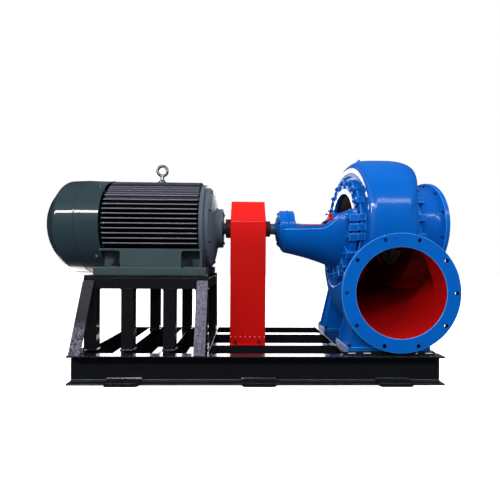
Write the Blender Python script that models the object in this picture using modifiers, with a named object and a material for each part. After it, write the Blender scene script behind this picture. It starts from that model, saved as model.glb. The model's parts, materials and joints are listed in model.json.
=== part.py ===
# Mixed flow pump with its electric motor, on a welded steel base.
# Metres, +Z up. The shaft runs along X, from the motor at -X to the suction flange at +X.
# The origin is on the floor, under the middle of the machine's length and width.
# The discharge flange faces -Y. Places across the machine are given from the shaft's own
# vertical plane, and an empty sets that plane off from the middle of the width.

from math import copysign, cos, pi, radians, sin, sqrt

import bmesh
import bpy
from mathutils import Matrix, Vector

# Driving dimensions of the base
GAP = 0.0003                    # left between pieces that touch
WELD = 0.00002                  # closes the hairline edges that a Boolean leaves
AXIS_Z = 0.937                  # height of the shaft above the floor
SKID_LEFT = -1.0025
SKID_RIGHT = 1.152
SKID_HALF_WIDTH = 0.4495
SKID_HEIGHT = 0.165
CHANNEL_FLANGE = 0.063
CHANNEL_WEB = 0.0085
CHANNEL_LIP = 0.0100            # thickness of a channel's flanges
CROSS_RIGHT_EDGES = (-0.705, -0.442, -0.212)
INNER_BEAMS_Y = (-0.202, 0.118)
LUG_CENTRES_X = (-0.692, 0.084, 0.866)
LUG_LENGTH = 0.200
LUG_REACH = 0.0255              # how far an anchor lug stands out past the channel
LUG_THICKNESS = 0.022
LUG_HOLE_RADIUS = 0.012
PLATE_LEFT = 0.579
PLATE_RIGHT = 1.130
PLATE_HALF_WIDTH = 0.392
PLATE_THICKNESS = 0.012

# Driving dimensions of the motor and its stand
FOOT_Z = 0.617                  # underside of the motor's feet
STAND_LEFT = -0.965
STAND_RIGHT = -0.222
STAND_HALF_WIDTH = 0.330
RAIL_TOP = 0.602
RAIL_HEIGHT = 0.066
PAD_WIDTH = 0.130               # of the machined strip under a motor foot
PAD_SINK = 0.002                # how deep the strip is let into the rails
POST_WIDTH = 0.075
POST_DEPTH = 0.060
POST_CENTRES_X = (-0.927, -0.706, -0.455, -0.260)
LEG_WIDTH = 0.066
LEG_THICKNESS = 0.012
MOTOR_FOOT_LEFT = -0.917
MOTOR_FOOT_RIGHT = -0.237
MOTOR_FOOT_HALF_WIDTH = 0.3175
MOTOR_FOOT_THICKNESS = 0.048
MOTOR_BOLT_X = (-0.8055, -0.3485)
MOTOR_BOLT_Y = 0.254
FRAME_LEFT = -0.893
FRAME_RIGHT = -0.262
FRAME_RADIUS = 0.262
FRAME_RING_RADIUS = 0.296
FIN_REACH = 0.312
FIN_THICKNESS = 0.007
FIN_PITCH = 0.0290
SIDE_FINS = 12
SIDE_FIN_LOWEST = -0.124        # from the shaft
TOP_FINS = 13
COWL_RADIUS = 0.3165
COWL_RIGHT = -0.890
COWL_SHOULDER = -1.160
COWL_LEFT = -1.260
COWL_END_RADIUS = 0.205
COWL_SHEET = 0.004
MOTOR_CAP_RADIUS = 0.135
MOTOR_CAP_FACE = -0.153
MOTOR_SHAFT_RADIUS = 0.040
EYE_BOLT_X = -0.582
EYE_BOLT_Z = 0.400              # centre of the ring above the shaft

# Driving dimensions of the coupling and its guard
GUARD_LEFT = -0.095
GUARD_RIGHT = 0.135
GUARD_HALF_WIDTH = 0.185
GUARD_BEND = 0.034              # above the shaft
GUARD_TOP = 0.187
GUARD_TOP_HALF_WIDTH = 0.030
GUARD_SHEET = 0.004
GUARD_FOOT = 0.022              # turned out along the floor of the guard
MOTOR_HUB_LEFT = -0.135
MOTOR_HUB_RADIUS = 0.066
PUMP_HUB_RIGHT = 0.176
PUMP_HUB_RADIUS = 0.055
COUPLING_RADIUS = 0.125
COUPLING_MIDDLE = 0.020

# Driving dimensions of the pump
PUMP_SHAFT_RADIUS = 0.038
HOUSING_LEFT = 0.232
HOUSING_RIGHT = 0.360
HOUSING_RADIUS = 0.126
BRACKET_LEFT = 0.270
BRACKET_LEFT_RADIUS = 0.164
BRACKET_RIGHT = 0.648           # where the half cone meets its flange
BRACKET_RIGHT_RADIUS = 0.279
BRACKET_WALL = 0.020
BRACKET_LUGS_LEFT = 0.630
GLAND_LEFT = 0.572
STUFFING_LEFT = 0.596
STUFFING_RADIUS = 0.118
COVER_LEFT = 0.684
COVER_SPIGOT_RADIUS = 0.300
COVER_BACK = 0.838
CASING_FACE = 0.722
FLANGE_RADIUS = 0.315           # of the bracket's, rear cover's and suction cover's flanges
LUG_CIRCLE = 0.322
LUG_RADIUS = 0.023
COVER_LUGS = 18
FIRST_LUG_ANGLE = 3             # degrees from the top
CASING_BACK = 1.045
CASING_FACE_RADIUS = 0.412
CASING_RADIUS = 0.428
CASING_WALL = 0.018
RECESS_RADIUS = 0.362           # of the hollow in the volute round the bracket's flange
PROUD = 0.0005                  # how far the casing's rims stand past its machined faces
VOLUTE_X = 0.909                # middle plane of the volute
VOLUTE_NEAR_LEFT = VOLUTE_X - CASING_FACE - 0.004
VOLUTE_NEAR_RIGHT = 0.105
VOLUTE_FAR_WIDTH = 0.290        # to either side of the middle plane, at the outlet
VOLUTE_FAR_RIGHT = 0.300
VOLUTE_NEAR_REACH = 0.430
VOLUTE_TOP_REACH = 0.478
VOLUTE_REAR_REACH = 0.565
VOLUTE_BOTTOM_REACH = 0.700
DISCHARGE_Z = 0.527
DISCHARGE_FACE_Y = -0.4294
DISCHARGE_FLANGE_RADIUS = 0.350
DISCHARGE_FLANGE_THICKNESS = 0.028
DISCHARGE_BORE_RADIUS = 0.266
DISCHARGE_BOLT_CIRCLE = 0.3225
DISCHARGE_BOLTS = 10
DISCHARGE_HOLE_RADIUS = 0.0105
SUCTION_FACE = 1.260
SUCTION_FLANGE_RADIUS = 0.323
SUCTION_BORE_RADIUS = 0.250
SUCTION_BOLT_CIRCLE = 0.302
SUCTION_BOLTS = 12
SUCTION_HOLE_RADIUS = 0.0105
RUNNING_GAP = 0.0006            # round the turning shafts

# Roundness of turned pieces
FINE = 40
MEDIUM = 24
COARSE = 16

# The volute reaches further to the rear than the anchor lugs do to the front
SHAFT_Y = (SKID_HALF_WIDTH + LUG_REACH - VOLUTE_REAR_REACH) / 2

PARTS = "mixed_flow_pump"
TOOLS = "cutters"
SHAFT_PLANE = "shaft_plane"

MATERIALS = {
    "black_steel": ((0.012, 0.012, 0.014), 0.25, 0.0),
    "motor_paint": ((0.028, 0.050, 0.056), 0.30, 0.0),
    "guard_red": ((0.560, 0.006, 0.006), 0.35, 0.0),
    "hub_maroon": ((0.100, 0.012, 0.012), 0.50, 0.0),
    "pump_blue": ((0.004, 0.120, 0.560), 0.28, 0.0),
    "bright_steel": ((0.560, 0.570, 0.580), 0.35, 1.0),
    "black_plastic": ((0.020, 0.020, 0.022), 0.50, 0.0),
}


def clear_scene():
    for item in list(bpy.data.objects):
        bpy.data.objects.remove(item, do_unlink=True)
    for name in (PARTS, TOOLS):
        if name in bpy.data.collections:
            bpy.data.collections.remove(bpy.data.collections[name])
        bpy.context.scene.collection.children.link(bpy.data.collections.new(name))
    plane = bpy.data.objects.new(SHAFT_PLANE, None)
    plane.location = (0.0, SHAFT_Y, 0.0)
    bpy.data.collections[PARTS].objects.link(plane)


def material(name):
    found = bpy.data.materials.get(name)
    if found:
        return found
    colour, roughness, metallic = MATERIALS[name]
    made = bpy.data.materials.new(name)
    made.use_nodes = True
    shader = made.node_tree.nodes["Principled BSDF"]
    shader.inputs["Base Color"].default_value = (*colour, 1.0)
    shader.inputs["Roughness"].default_value = roughness
    shader.inputs["Metallic"].default_value = metallic
    made.diffuse_color = (*colour, 1.0)
    return made


def add_object(name, data, finish=None):
    """Links new data as an object: a part when it has a finish, a cutter when it has none."""
    item = bpy.data.objects.new(name, data)
    item.parent = bpy.data.objects[SHAFT_PLANE]
    if finish:
        data.materials.append(material(finish))
        bpy.data.collections[PARTS].objects.link(item)
    else:
        item.hide_render = True
        item.display_type = "WIRE"
        bpy.data.collections[TOOLS].objects.link(item)
    return item


def from_bmesh(name, bm, finish=None):
    mesh = bpy.data.meshes.new(name)
    bm.to_mesh(mesh)
    bm.free()
    return add_object(name, mesh, finish)


def add_box(bm, low, high):
    """Adds a box between two opposite corners to a bmesh."""
    size = [b - a for a, b in zip(low, high)]
    middle = [(a + b) / 2 for a, b in zip(low, high)]
    matrix = Matrix.Translation(middle) @ Matrix.Diagonal((*size, 1.0))
    return bmesh.ops.create_cube(bm, size=1.0, matrix=matrix)["verts"]


def box(name, low, high, finish=None):
    bm = bmesh.new()
    add_box(bm, low, high)
    return from_bmesh(name, bm, finish)


def add_cylinder(bm, start, end, radius, sides=COARSE, end_radius=None):
    """Adds a closed cylinder or cone between two points to a bmesh."""
    start = Vector(start)
    along = Vector(end) - start
    turn = along.to_track_quat("Z", "Y").to_matrix().to_4x4()
    matrix = Matrix.Translation(start + along / 2) @ turn
    tip = radius if end_radius is None else end_radius
    return bmesh.ops.create_cone(bm, cap_ends=True, segments=sides, radius1=radius, radius2=tip,
                                 depth=along.length, matrix=matrix)["verts"]


def cylinder(name, start, end, radius, finish=None, sides=COARSE):
    bm = bmesh.new()
    add_cylinder(bm, start, end, radius, sides)
    return from_bmesh(name, bm, finish)


def turned(name, outer, inner=None, finish=None, steps=MEDIUM):
    """Turns a profile about the shaft's axis.

    outer and inner are (x, radius) points from low x to high x. With no inner side the piece
    is solid, and outer starts and ends on the axis.
    """
    points = list(reversed(outer)) + list(inner or [])
    mesh = bpy.data.meshes.new(name)
    edges = [(i, i + 1) for i in range(len(points) - 1)]
    if inner:
        edges.append((len(points) - 1, 0))
    mesh.from_pydata([(radius, 0.0, x) for x, radius in points], edges, [])
    item = add_object(name, mesh, finish)
    item.location = (0.0, 0.0, AXIS_Z)
    item.rotation_euler = (0.0, pi / 2, 0.0)
    screw = item.modifiers.new("turn", "SCREW")
    screw.axis = "Z"
    screw.steps = steps
    screw.render_steps = steps
    screw.use_merge_vertices = True
    screw.merge_threshold = 0.00005
    screw.use_smooth_shade = True
    return item


def add_loft(bm, rings, closed=False):
    """Joins rings of points into a tube, with its ends capped or joined to each other."""
    rows = [[bm.verts.new(point) for point in ring] for ring in rings]
    count = len(rings[0])
    pairs = list(zip(rows, rows[1:]))
    if closed:
        pairs.append((rows[-1], rows[0]))
    faces = []
    for first, second in pairs:
        for i in range(count):
            j = (i + 1) % count
            faces.append(bm.faces.new((first[i], first[j], second[j], second[i])))
    if not closed:
        faces.append(bm.faces.new(rows[0]))
        faces.append(bm.faces.new(rows[-1]))
    bmesh.ops.recalc_face_normals(bm, faces=faces)
    bmesh.ops.triangulate(bm, faces=[face for face in faces if len(face.verts) == 4])


def loft(name, rings, finish=None, closed=False):
    bm = bmesh.new()
    add_loft(bm, rings, closed)
    return from_bmesh(name, bm, finish)


def combine(target, tool, operation):
    change = target.modifiers.new(tool.name, "BOOLEAN")
    change.operation = operation
    change.object = tool
    weld = target.modifiers.new(f"{tool.name}_weld", "WELD")
    weld.merge_threshold = WELD
    return target


def cut(target, tool):
    return combine(target, tool, "DIFFERENCE")


def join(target, tool):
    return combine(target, tool, "UNION")


def around(radius, angle_deg, x):
    """A point at a radius and angle about the shaft: 0 is up, 90 is towards -Y."""
    angle = radians(angle_deg)
    return Vector((x, -radius * sin(angle), AXIS_Z + radius * cos(angle)))


# Base


def extrude_section(name, section, matrix, length, finish=None):
    """Extrudes a closed 2D section, given in its own plane, by a length along its normal."""
    bm = bmesh.new()
    verts = [bm.verts.new((x, y, 0.0)) for x, y in section]
    face = bm.faces.new(verts)
    bmesh.ops.recalc_face_normals(bm, faces=[face])
    made = bmesh.ops.extrude_face_region(bm, geom=[face])["geom"]
    moved = [v for v in made if isinstance(v, bmesh.types.BMVert)]
    bmesh.ops.translate(bm, verts=moved, vec=(0.0, 0.0, length))
    bmesh.ops.recalc_face_normals(bm, faces=bm.faces)
    bmesh.ops.transform(bm, matrix=matrix, verts=bm.verts)
    return from_bmesh(name, bm, finish)


def channel_section(height, flange, web, lip):
    """A channel with its web's back on the vertical axis and its flanges pointing to +x."""
    return [(0.0, 0.0), (flange, 0.0), (flange, lip), (web, lip),
            (web, height - lip), (flange, height - lip), (flange, height), (0.0, height)]


def frame_matrix(origin, x_axis, y_axis):
    """Places a section: its x and y run along the given axes, and its length along their cross."""
    x_axis = Vector(x_axis)
    y_axis = Vector(y_axis)
    z_axis = x_axis.cross(y_axis)
    matrix = Matrix((x_axis, y_axis, z_axis)).transposed().to_4x4()
    matrix.translation = Vector(origin)
    return matrix


def channel_along_x(name, back_y, facing, left, right, finish=None, bottom=0.0,
                    height=SKID_HEIGHT, flange=CHANNEL_FLANGE):
    """A channel that runs along X. facing is the side of Y that its flanges point to."""
    section = channel_section(height, flange, CHANNEL_WEB, CHANNEL_LIP)
    start = left if facing > 0 else right
    matrix = frame_matrix((start, back_y, bottom), (0, facing, 0), (0, 0, 1))
    return extrude_section(name, section, matrix, right - left, finish)


def channel_along_y(name, back_x, facing, front, rear, finish=None, bottom=0.0,
                    height=SKID_HEIGHT, flange=CHANNEL_FLANGE):
    """A channel that runs along Y. facing is the side of X that its flanges point to."""
    section = channel_section(height, flange, CHANNEL_WEB, CHANNEL_LIP)
    start = rear if facing > 0 else front
    matrix = frame_matrix((back_x, start, bottom), (facing, 0, 0), (0, 0, 1))
    return extrude_section(name, section, matrix, rear - front, finish)


def anchor_lugs(side):
    """Plates that stick out of a long beam's foot, each with one hole for an anchor."""
    bm = bmesh.new()
    back = side * (SKID_HALF_WIDTH - CHANNEL_FLANGE + CHANNEL_WEB - 0.001)
    tip = side * (SKID_HALF_WIDTH + LUG_REACH)
    for centre in LUG_CENTRES_X:
        chamfer = 0.018
        half = LUG_LENGTH / 2
        outline = [(centre - half, back), (centre - half, tip - side * chamfer),
                   (centre - half + chamfer, tip), (centre + half - chamfer, tip),
                   (centre + half, tip - side * chamfer), (centre + half, back)]
        verts = [bm.verts.new((x, y, 0.0)) for x, y in outline]
        face = bm.faces.new(verts)
        made = bmesh.ops.extrude_face_region(bm, geom=[face])["geom"]
        moved = [v for v in made if isinstance(v, bmesh.types.BMVert)]
        bmesh.ops.translate(bm, verts=moved, vec=(0.0, 0.0, LUG_THICKNESS))
    bmesh.ops.recalc_face_normals(bm, faces=bm.faces)
    return from_bmesh(f"lugs_{'rear' if side > 0 else 'front'}", bm)


def lug_holes(side):
    bm = bmesh.new()
    for centre in LUG_CENTRES_X:
        y = side * (SKID_HALF_WIDTH - 0.008)
        add_cylinder(bm, (centre, y, -0.01), (centre, y, LUG_THICKNESS + 0.01), LUG_HOLE_RADIUS, 12)
    return from_bmesh(f"lug_holes_{'rear' if side > 0 else 'front'}", bm)


def make_skid():
    web_back = SKID_HALF_WIDTH - CHANNEL_FLANGE
    for side, name in ((-1, "skid_front_beam"), (1, "skid_rear_beam")):
        beam = channel_along_x(name, side * web_back, side, SKID_LEFT, SKID_RIGHT, "black_steel")
        join(beam, anchor_lugs(side))
        cut(beam, lug_holes(side))
    inside = web_back - GAP
    channel_along_y("skid_motor_end_beam", SKID_LEFT, 1, -inside, inside, "black_steel")
    channel_along_y("skid_pump_end_beam", SKID_RIGHT, -1, -inside, inside, "black_steel")
    for number, edge in enumerate(CROSS_RIGHT_EDGES, 1):
        channel_along_y(f"skid_cross_beam_{number}", edge - CHANNEL_FLANGE, 1, -inside, inside,
                        "black_steel")
    left = CROSS_RIGHT_EDGES[-1] + GAP
    right = SKID_RIGHT - CHANNEL_FLANGE - GAP
    for back, name in zip(INNER_BEAMS_Y, ("skid_inner_beam_front", "skid_inner_beam_rear")):
        channel_along_x(name, back, 1, left, right, "black_steel")
    box("pump_sole_plate", (PLATE_LEFT, -PLATE_HALF_WIDTH, SKID_HEIGHT + GAP),
        (PLATE_RIGHT, PLATE_HALF_WIDTH, SKID_HEIGHT + GAP + PLATE_THICKNESS), "black_steel")


def make_stand():
    """Two welded side frames, each a rail with its pad and posts, tied by a rail at each end."""
    rail_bottom = RAIL_TOP - RAIL_HEIGHT
    rail_depth = 0.060
    back = STAND_HALF_WIDTH
    post_bottom = SKID_HEIGHT + GAP
    centre_y = back - rail_depth / 2
    for side, row in ((-1, "front"), (1, "rear")):
        rail = channel_along_x(f"stand_frame_{row}", side * back, -side, STAND_LEFT, STAND_RIGHT,
                               "black_steel", rail_bottom, RAIL_HEIGHT, rail_depth)
        inner = side * (back - PAD_WIDTH)
        outer = side * (back - 0.001)
        join(rail, box(f"stand_pad_{row}", (STAND_LEFT + 0.001, min(inner, outer), RAIL_TOP - PAD_SINK),
                       (STAND_RIGHT - 0.001, max(inner, outer), FOOT_Z - GAP)))
        posts = bmesh.new()
        for x in POST_CENTRES_X:
            add_box(posts, (x - POST_WIDTH / 2, side * centre_y - POST_DEPTH / 2 + 0.001, post_bottom),
                    (x + POST_WIDTH / 2, side * centre_y + POST_DEPTH / 2 - 0.001, rail_bottom + 0.004))
        join(rail, from_bmesh(f"stand_posts_{row}", posts))
    inside = back - rail_depth - GAP
    end_height = RAIL_HEIGHT - PAD_SINK - GAP
    channel_along_y("stand_rail_left", STAND_LEFT, 1, -inside, inside, "black_steel",
                    rail_bottom, end_height, rail_depth)
    channel_along_y("stand_rail_right", STAND_RIGHT, -1, -inside, inside, "black_steel",
                    rail_bottom, end_height, rail_depth)


def make_legs():
    """Flat bars that lean from the stand's top rails out to the long beams."""
    top_z = RAIL_TOP - 0.020
    foot_z = SKID_HEIGHT + GAP
    spans = (("left", -0.964, -0.9995), ("right", -0.288, -0.292))
    for side, row in ((-1, "front"), (1, "rear")):
        for where, top_x, foot_x in spans:
            bm = bmesh.new()
            top_y = side * (STAND_HALF_WIDTH + GAP)
            foot_y = side * (SKID_HALF_WIDTH - LEG_THICKNESS - 0.012)
            corners = []
            for z, x, y in ((foot_z, foot_x, foot_y), (top_z, top_x, top_y)):
                for dx, dy in ((0, 0), (LEG_WIDTH, 0), (LEG_WIDTH, LEG_THICKNESS), (0, LEG_THICKNESS)):
                    corners.append(bm.verts.new((x + dx, y + side * dy, z)))
            bm.faces.new(corners[0:4])
            bm.faces.new(corners[4:8])
            for i in range(4):
                j = (i + 1) % 4
                bm.faces.new((corners[i], corners[j], corners[4 + j], corners[4 + i]))
            bmesh.ops.recalc_face_normals(bm, faces=bm.faces)
            from_bmesh(f"stand_leg_{row}_{where}", bm, "black_steel")


# Motor


def make_motor_frame():
    bore = MOTOR_SHAFT_RADIUS + 0.006
    ring_left = FRAME_RIGHT - 0.0255
    frame = turned("motor_frame",
                   [(FRAME_LEFT, FRAME_RADIUS), (ring_left - 0.001, FRAME_RADIUS),
                    (ring_left, FRAME_RING_RADIUS), (FRAME_RIGHT, FRAME_RING_RADIUS)],
                   [(FRAME_LEFT, bore), (FRAME_RIGHT, bore)], "motor_paint", FINE)
    for side in (-1, 1):
        ends = sorted((side * 0.186, side * MOTOR_FOOT_HALF_WIDTH))
        join(frame, box(f"motor_foot_{side}", (MOTOR_FOOT_LEFT, ends[0], FOOT_Z),
                        (MOTOR_FOOT_RIGHT, ends[1], FOOT_Z + MOTOR_FOOT_THICKNESS)))
        ends = sorted((side * 0.150, side * 0.300))
        join(frame, box(f"motor_foot_panel_{side}",
                        (FRAME_LEFT + 0.006, ends[0], FOOT_Z + MOTOR_FOOT_THICKNESS - 0.004),
                        (FRAME_RIGHT - 0.003, ends[1], AXIS_Z - 0.158)))
    fin_left = FRAME_LEFT + 0.004
    fin_right = FRAME_RIGHT - 0.022
    half = FIN_THICKNESS / 2
    side_fins = bmesh.new()
    for number in range(SIDE_FINS):
        z = SIDE_FIN_LOWEST + FIN_PITCH * number
        inner = sqrt(FRAME_RADIUS ** 2 - z * z) - 0.012
        outer = sqrt(FIN_REACH ** 2 - z * z)
        for side in (-1, 1):
            ends = sorted((side * inner, side * outer))
            add_box(side_fins, (fin_left, ends[0], AXIS_Z + z - half),
                    (fin_right, ends[1], AXIS_Z + z + half))
    join(frame, from_bmesh("motor_side_fins", side_fins))
    top_fins = bmesh.new()
    for number in range(TOP_FINS):
        y = FIN_PITCH * (number - (TOP_FINS - 1) / 2)
        inner = sqrt(FRAME_RADIUS ** 2 - y * y) - 0.012
        outer = sqrt(FIN_REACH ** 2 - y * y)
        add_box(top_fins, (fin_left, y - half, AXIS_Z + inner), (fin_right, y + half, AXIS_Z + outer))
    join(frame, from_bmesh("motor_top_fins", top_fins))
    pockets = bmesh.new()
    holes = bmesh.new()
    for side in (-1, 1):
        for x in MOTOR_BOLT_X:
            ends = sorted((side * 0.222, side * 0.400))
            add_box(pockets, (x - 0.045, ends[0], FOOT_Z + MOTOR_FOOT_THICKNESS),
                    (x + 0.045, ends[1], AXIS_Z - 0.172))
            add_cylinder(holes, (x, side * MOTOR_BOLT_Y, FOOT_Z - 0.02),
                         (x, side * MOTOR_BOLT_Y, FOOT_Z + 0.08), 0.014, 12)
    cut(frame, from_bmesh("motor_pockets", pockets))
    cut(frame, from_bmesh("motor_foot_holes", holes))


def make_motor_ends():
    shaft_hole = MOTOR_SHAFT_RADIUS + 0.0006
    left = FRAME_RIGHT + GAP
    turned("motor_drive_end_shield",
           [(left, 0.276), (left + 0.030, 0.276), (left + 0.040, 0.268), (left + 0.052, 0.235),
            (left + 0.066, 0.190), (left + 0.074, MOTOR_CAP_RADIUS + 0.004)],
           [(left, shaft_hole), (left + 0.074, shaft_hole)], "motor_paint", FINE)
    cap_left = left + 0.074 + GAP
    turned("motor_bearing_cap",
           [(cap_left, MOTOR_CAP_RADIUS), (MOTOR_CAP_FACE - 0.004, MOTOR_CAP_RADIUS),
            (MOTOR_CAP_FACE, MOTOR_CAP_RADIUS - 0.004)],
           [(cap_left, shaft_hole), (MOTOR_CAP_FACE, shaft_hole)], "motor_paint", MEDIUM)


def make_cowl():
    inner_left = COWL_LEFT + COWL_SHEET
    outer = [(COWL_LEFT, COWL_END_RADIUS), (COWL_LEFT + 0.018, 0.228), (COWL_SHOULDER - 0.030, 0.292),
             (COWL_SHOULDER, 0.310), (COWL_SHOULDER + 0.030, COWL_RADIUS), (COWL_RIGHT, COWL_RADIUS)]
    inner = [(inner_left, COWL_END_RADIUS - 0.003), (COWL_LEFT + 0.020, 0.2235),
             (COWL_SHOULDER - 0.029, 0.2875), (COWL_SHOULDER + 0.001, 0.3055),
             (COWL_SHOULDER + 0.031, COWL_RADIUS - COWL_SHEET), (COWL_RIGHT, COWL_RADIUS - COWL_SHEET)]
    outer.insert(0, (COWL_LEFT, 0.020))
    inner.insert(0, (inner_left, 0.020))
    cowl = turned("motor_fan_cowl", outer, inner, "motor_paint", FINE)
    slots = bmesh.new()
    bars = 12
    for number in range(bars):
        angle = 2 * pi * number / bars
        turn = Matrix.Translation((0, 0, AXIS_Z)) @ Matrix.Rotation(angle, 4, "X")
        verts = add_box(slots, (COWL_LEFT - 0.02, -0.010, 0.070), (COWL_LEFT + 0.02, 0.010, 0.180))
        bmesh.ops.transform(slots, matrix=turn, verts=verts)
    cut(cowl, from_bmesh("cowl_slots", slots))
    brackets = bmesh.new()
    for angle in (45, 135, 225, 315):
        turn = Matrix.Translation((0, 0, AXIS_Z)) @ Matrix.Rotation(radians(angle), 4, "X")
        verts = add_box(brackets, (FRAME_LEFT - 0.020, -0.015, 0.235),
                        (FRAME_LEFT - GAP, 0.015, COWL_RADIUS - COWL_SHEET / 2))
        bmesh.ops.transform(brackets, matrix=turn, verts=verts)
    join(cowl, from_bmesh("cowl_brackets", brackets))


def make_terminal_box():
    low = (-0.700, FIN_REACH + GAP / 2, AXIS_Z - 0.080)
    high = (-0.460, 0.462, AXIS_Z + 0.110)
    box("motor_terminal_box", low, high, "motor_paint")


def make_eye_bolt():
    """Lifting eye. Its ring stands in the plane of the shaft, so that it shows from the side."""
    ring_radius = 0.034
    wire = 0.0095
    low = AXIS_Z + FIN_REACH + GAP
    eye = cylinder("motor_eye_bolt", (EYE_BOLT_X, 0, low), (EYE_BOLT_X, 0, low + 0.014), 0.030,
                   "bright_steel")
    join(eye, cylinder("eye_bolt_neck", (EYE_BOLT_X, 0, low + 0.008),
                       (EYE_BOLT_X, 0, AXIS_Z + EYE_BOLT_Z - ring_radius), 0.014, sides=12))
    sides = 20
    section = 8
    rings = []
    for i in range(sides):
        turn = 2 * pi * i / sides
        ring = []
        for j in range(section):
            angle = 2 * pi * j / section
            radius = ring_radius + wire * cos(angle)
            ring.append(Vector((EYE_BOLT_X + radius * cos(turn), wire * sin(angle),
                                AXIS_Z + EYE_BOLT_Z + radius * sin(turn))))
        rings.append(ring)
    join(eye, loft("eye_bolt_ring", rings, closed=True))


# Coupling and guard


def make_guard():
    """Folded sheet over the coupling, open at both ends, with feet turned out at the floor."""
    sheet = GUARD_SHEET
    foot_z = SKID_HEIGHT + GAP
    half = GUARD_HALF_WIDTH
    bend_z = AXIS_Z + GUARD_BEND
    top_z = AXIS_Z + GUARD_TOP
    flat = GUARD_TOP_HALF_WIDTH
    foot = half + GUARD_FOOT
    inset = sheet * 1.2
    outer = [(-half, bend_z), (-flat, top_z), (flat, top_z), (half, bend_z)]
    inner = [(half - sheet, bend_z - 0.001), (flat - 0.001, top_z - inset),
             (-flat + 0.001, top_z - inset), (-half + sheet, bend_z - 0.001)]
    outline = [(-foot, foot_z), (-foot, foot_z + sheet), (-half, foot_z + sheet)] + outer
    outline += [(half, foot_z + sheet), (foot, foot_z + sheet), (foot, foot_z), (half - sheet, foot_z)]
    outline += inner + [(-half + sheet, foot_z)]
    matrix = frame_matrix((GUARD_LEFT, 0.0, 0.0), (0, 1, 0), (0, 0, 1))
    extrude_section("coupling_guard", outline, matrix, GUARD_RIGHT - GUARD_LEFT, "guard_red")


def make_coupling():
    bore = MOTOR_SHAFT_RADIUS + GAP
    face = COUPLING_MIDDLE - 0.002
    turned("motor_coupling_half",
           [(MOTOR_HUB_LEFT, MOTOR_HUB_RADIUS), (face - 0.050, MOTOR_HUB_RADIUS),
            (face - 0.046, COUPLING_RADIUS), (face, COUPLING_RADIUS)],
           [(MOTOR_HUB_LEFT, bore), (face, bore)], "hub_maroon", MEDIUM)
    bore = PUMP_SHAFT_RADIUS + GAP
    face = COUPLING_MIDDLE + 0.002
    turned("pump_coupling_half",
           [(face, COUPLING_RADIUS), (face + 0.046, COUPLING_RADIUS),
            (face + 0.050, PUMP_HUB_RADIUS), (PUMP_HUB_RIGHT - 0.010, PUMP_HUB_RADIUS),
            (PUMP_HUB_RIGHT, PUMP_HUB_RADIUS - 0.010)],
           [(face, bore), (PUMP_HUB_RIGHT, bore)], "hub_maroon", MEDIUM)


def make_shafts():
    turned("motor_shaft",
           [(-1.200, 0.0), (-1.200, 0.030), (-0.975, 0.030), (-0.975, MOTOR_SHAFT_RADIUS),
            (COUPLING_MIDDLE - 0.006, MOTOR_SHAFT_RADIUS), (COUPLING_MIDDLE - 0.006, 0.0)],
           None, "bright_steel", MEDIUM)
    turned("pump_shaft",
           [(COUPLING_MIDDLE + 0.006, 0.0), (COUPLING_MIDDLE + 0.006, PUMP_SHAFT_RADIUS),
            (0.900, PUMP_SHAFT_RADIUS), (0.900, 0.0)],
           None, "bright_steel", MEDIUM)


def make_fan():
    """The motor's cooling fan, on the shaft's end inside the cowl."""
    bore = 0.030 + GAP
    hub = turned("motor_fan", [(-1.190, 0.060), (-1.100, 0.070)], [(-1.190, bore), (-1.100, bore)],
                 "black_plastic", MEDIUM)
    blades = bmesh.new()
    for number in range(8):
        turn = Matrix.Translation((0, 0, AXIS_Z)) @ Matrix.Rotation(2 * pi * number / 8, 4, "X")
        verts = add_box(blades, (-1.180, -0.004, 0.050), (-1.108, 0.004, 0.262))
        bmesh.ops.transform(blades, matrix=turn, verts=verts)
    disc = bmesh.new()
    add_cylinder(disc, (-1.106, 0, AXIS_Z), (-1.100, 0, AXIS_Z), 0.262, MEDIUM)
    disc_tool = from_bmesh("fan_disc", disc)
    cut(disc_tool, cylinder("fan_disc_bore", (-1.2, 0, AXIS_Z), (-1.0, 0, AXIS_Z), 0.050))
    join(hub, disc_tool)
    fins = from_bmesh("fan_blades", blades)
    cut(fins, cylinder("fan_blade_bore", (-1.3, 0, AXIS_Z), (-1.0, 0, AXIS_Z), 0.050))
    join(hub, fins)


# Pump


def cover_lug_angles():
    """Angles of the lugs that clamp the bracket and the rear cover to the casing."""
    return [FIRST_LUG_ANGLE + 360 / COVER_LUGS * number for number in range(COVER_LUGS)]


def lugs(name, left, right, radius):
    """The ring of bosses that the studs pass through."""
    bm = bmesh.new()
    for angle in cover_lug_angles():
        add_cylinder(bm, around(LUG_CIRCLE, angle, left), around(LUG_CIRCLE, angle, right), radius, 8)
    return from_bmesh(name, bm)


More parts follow.
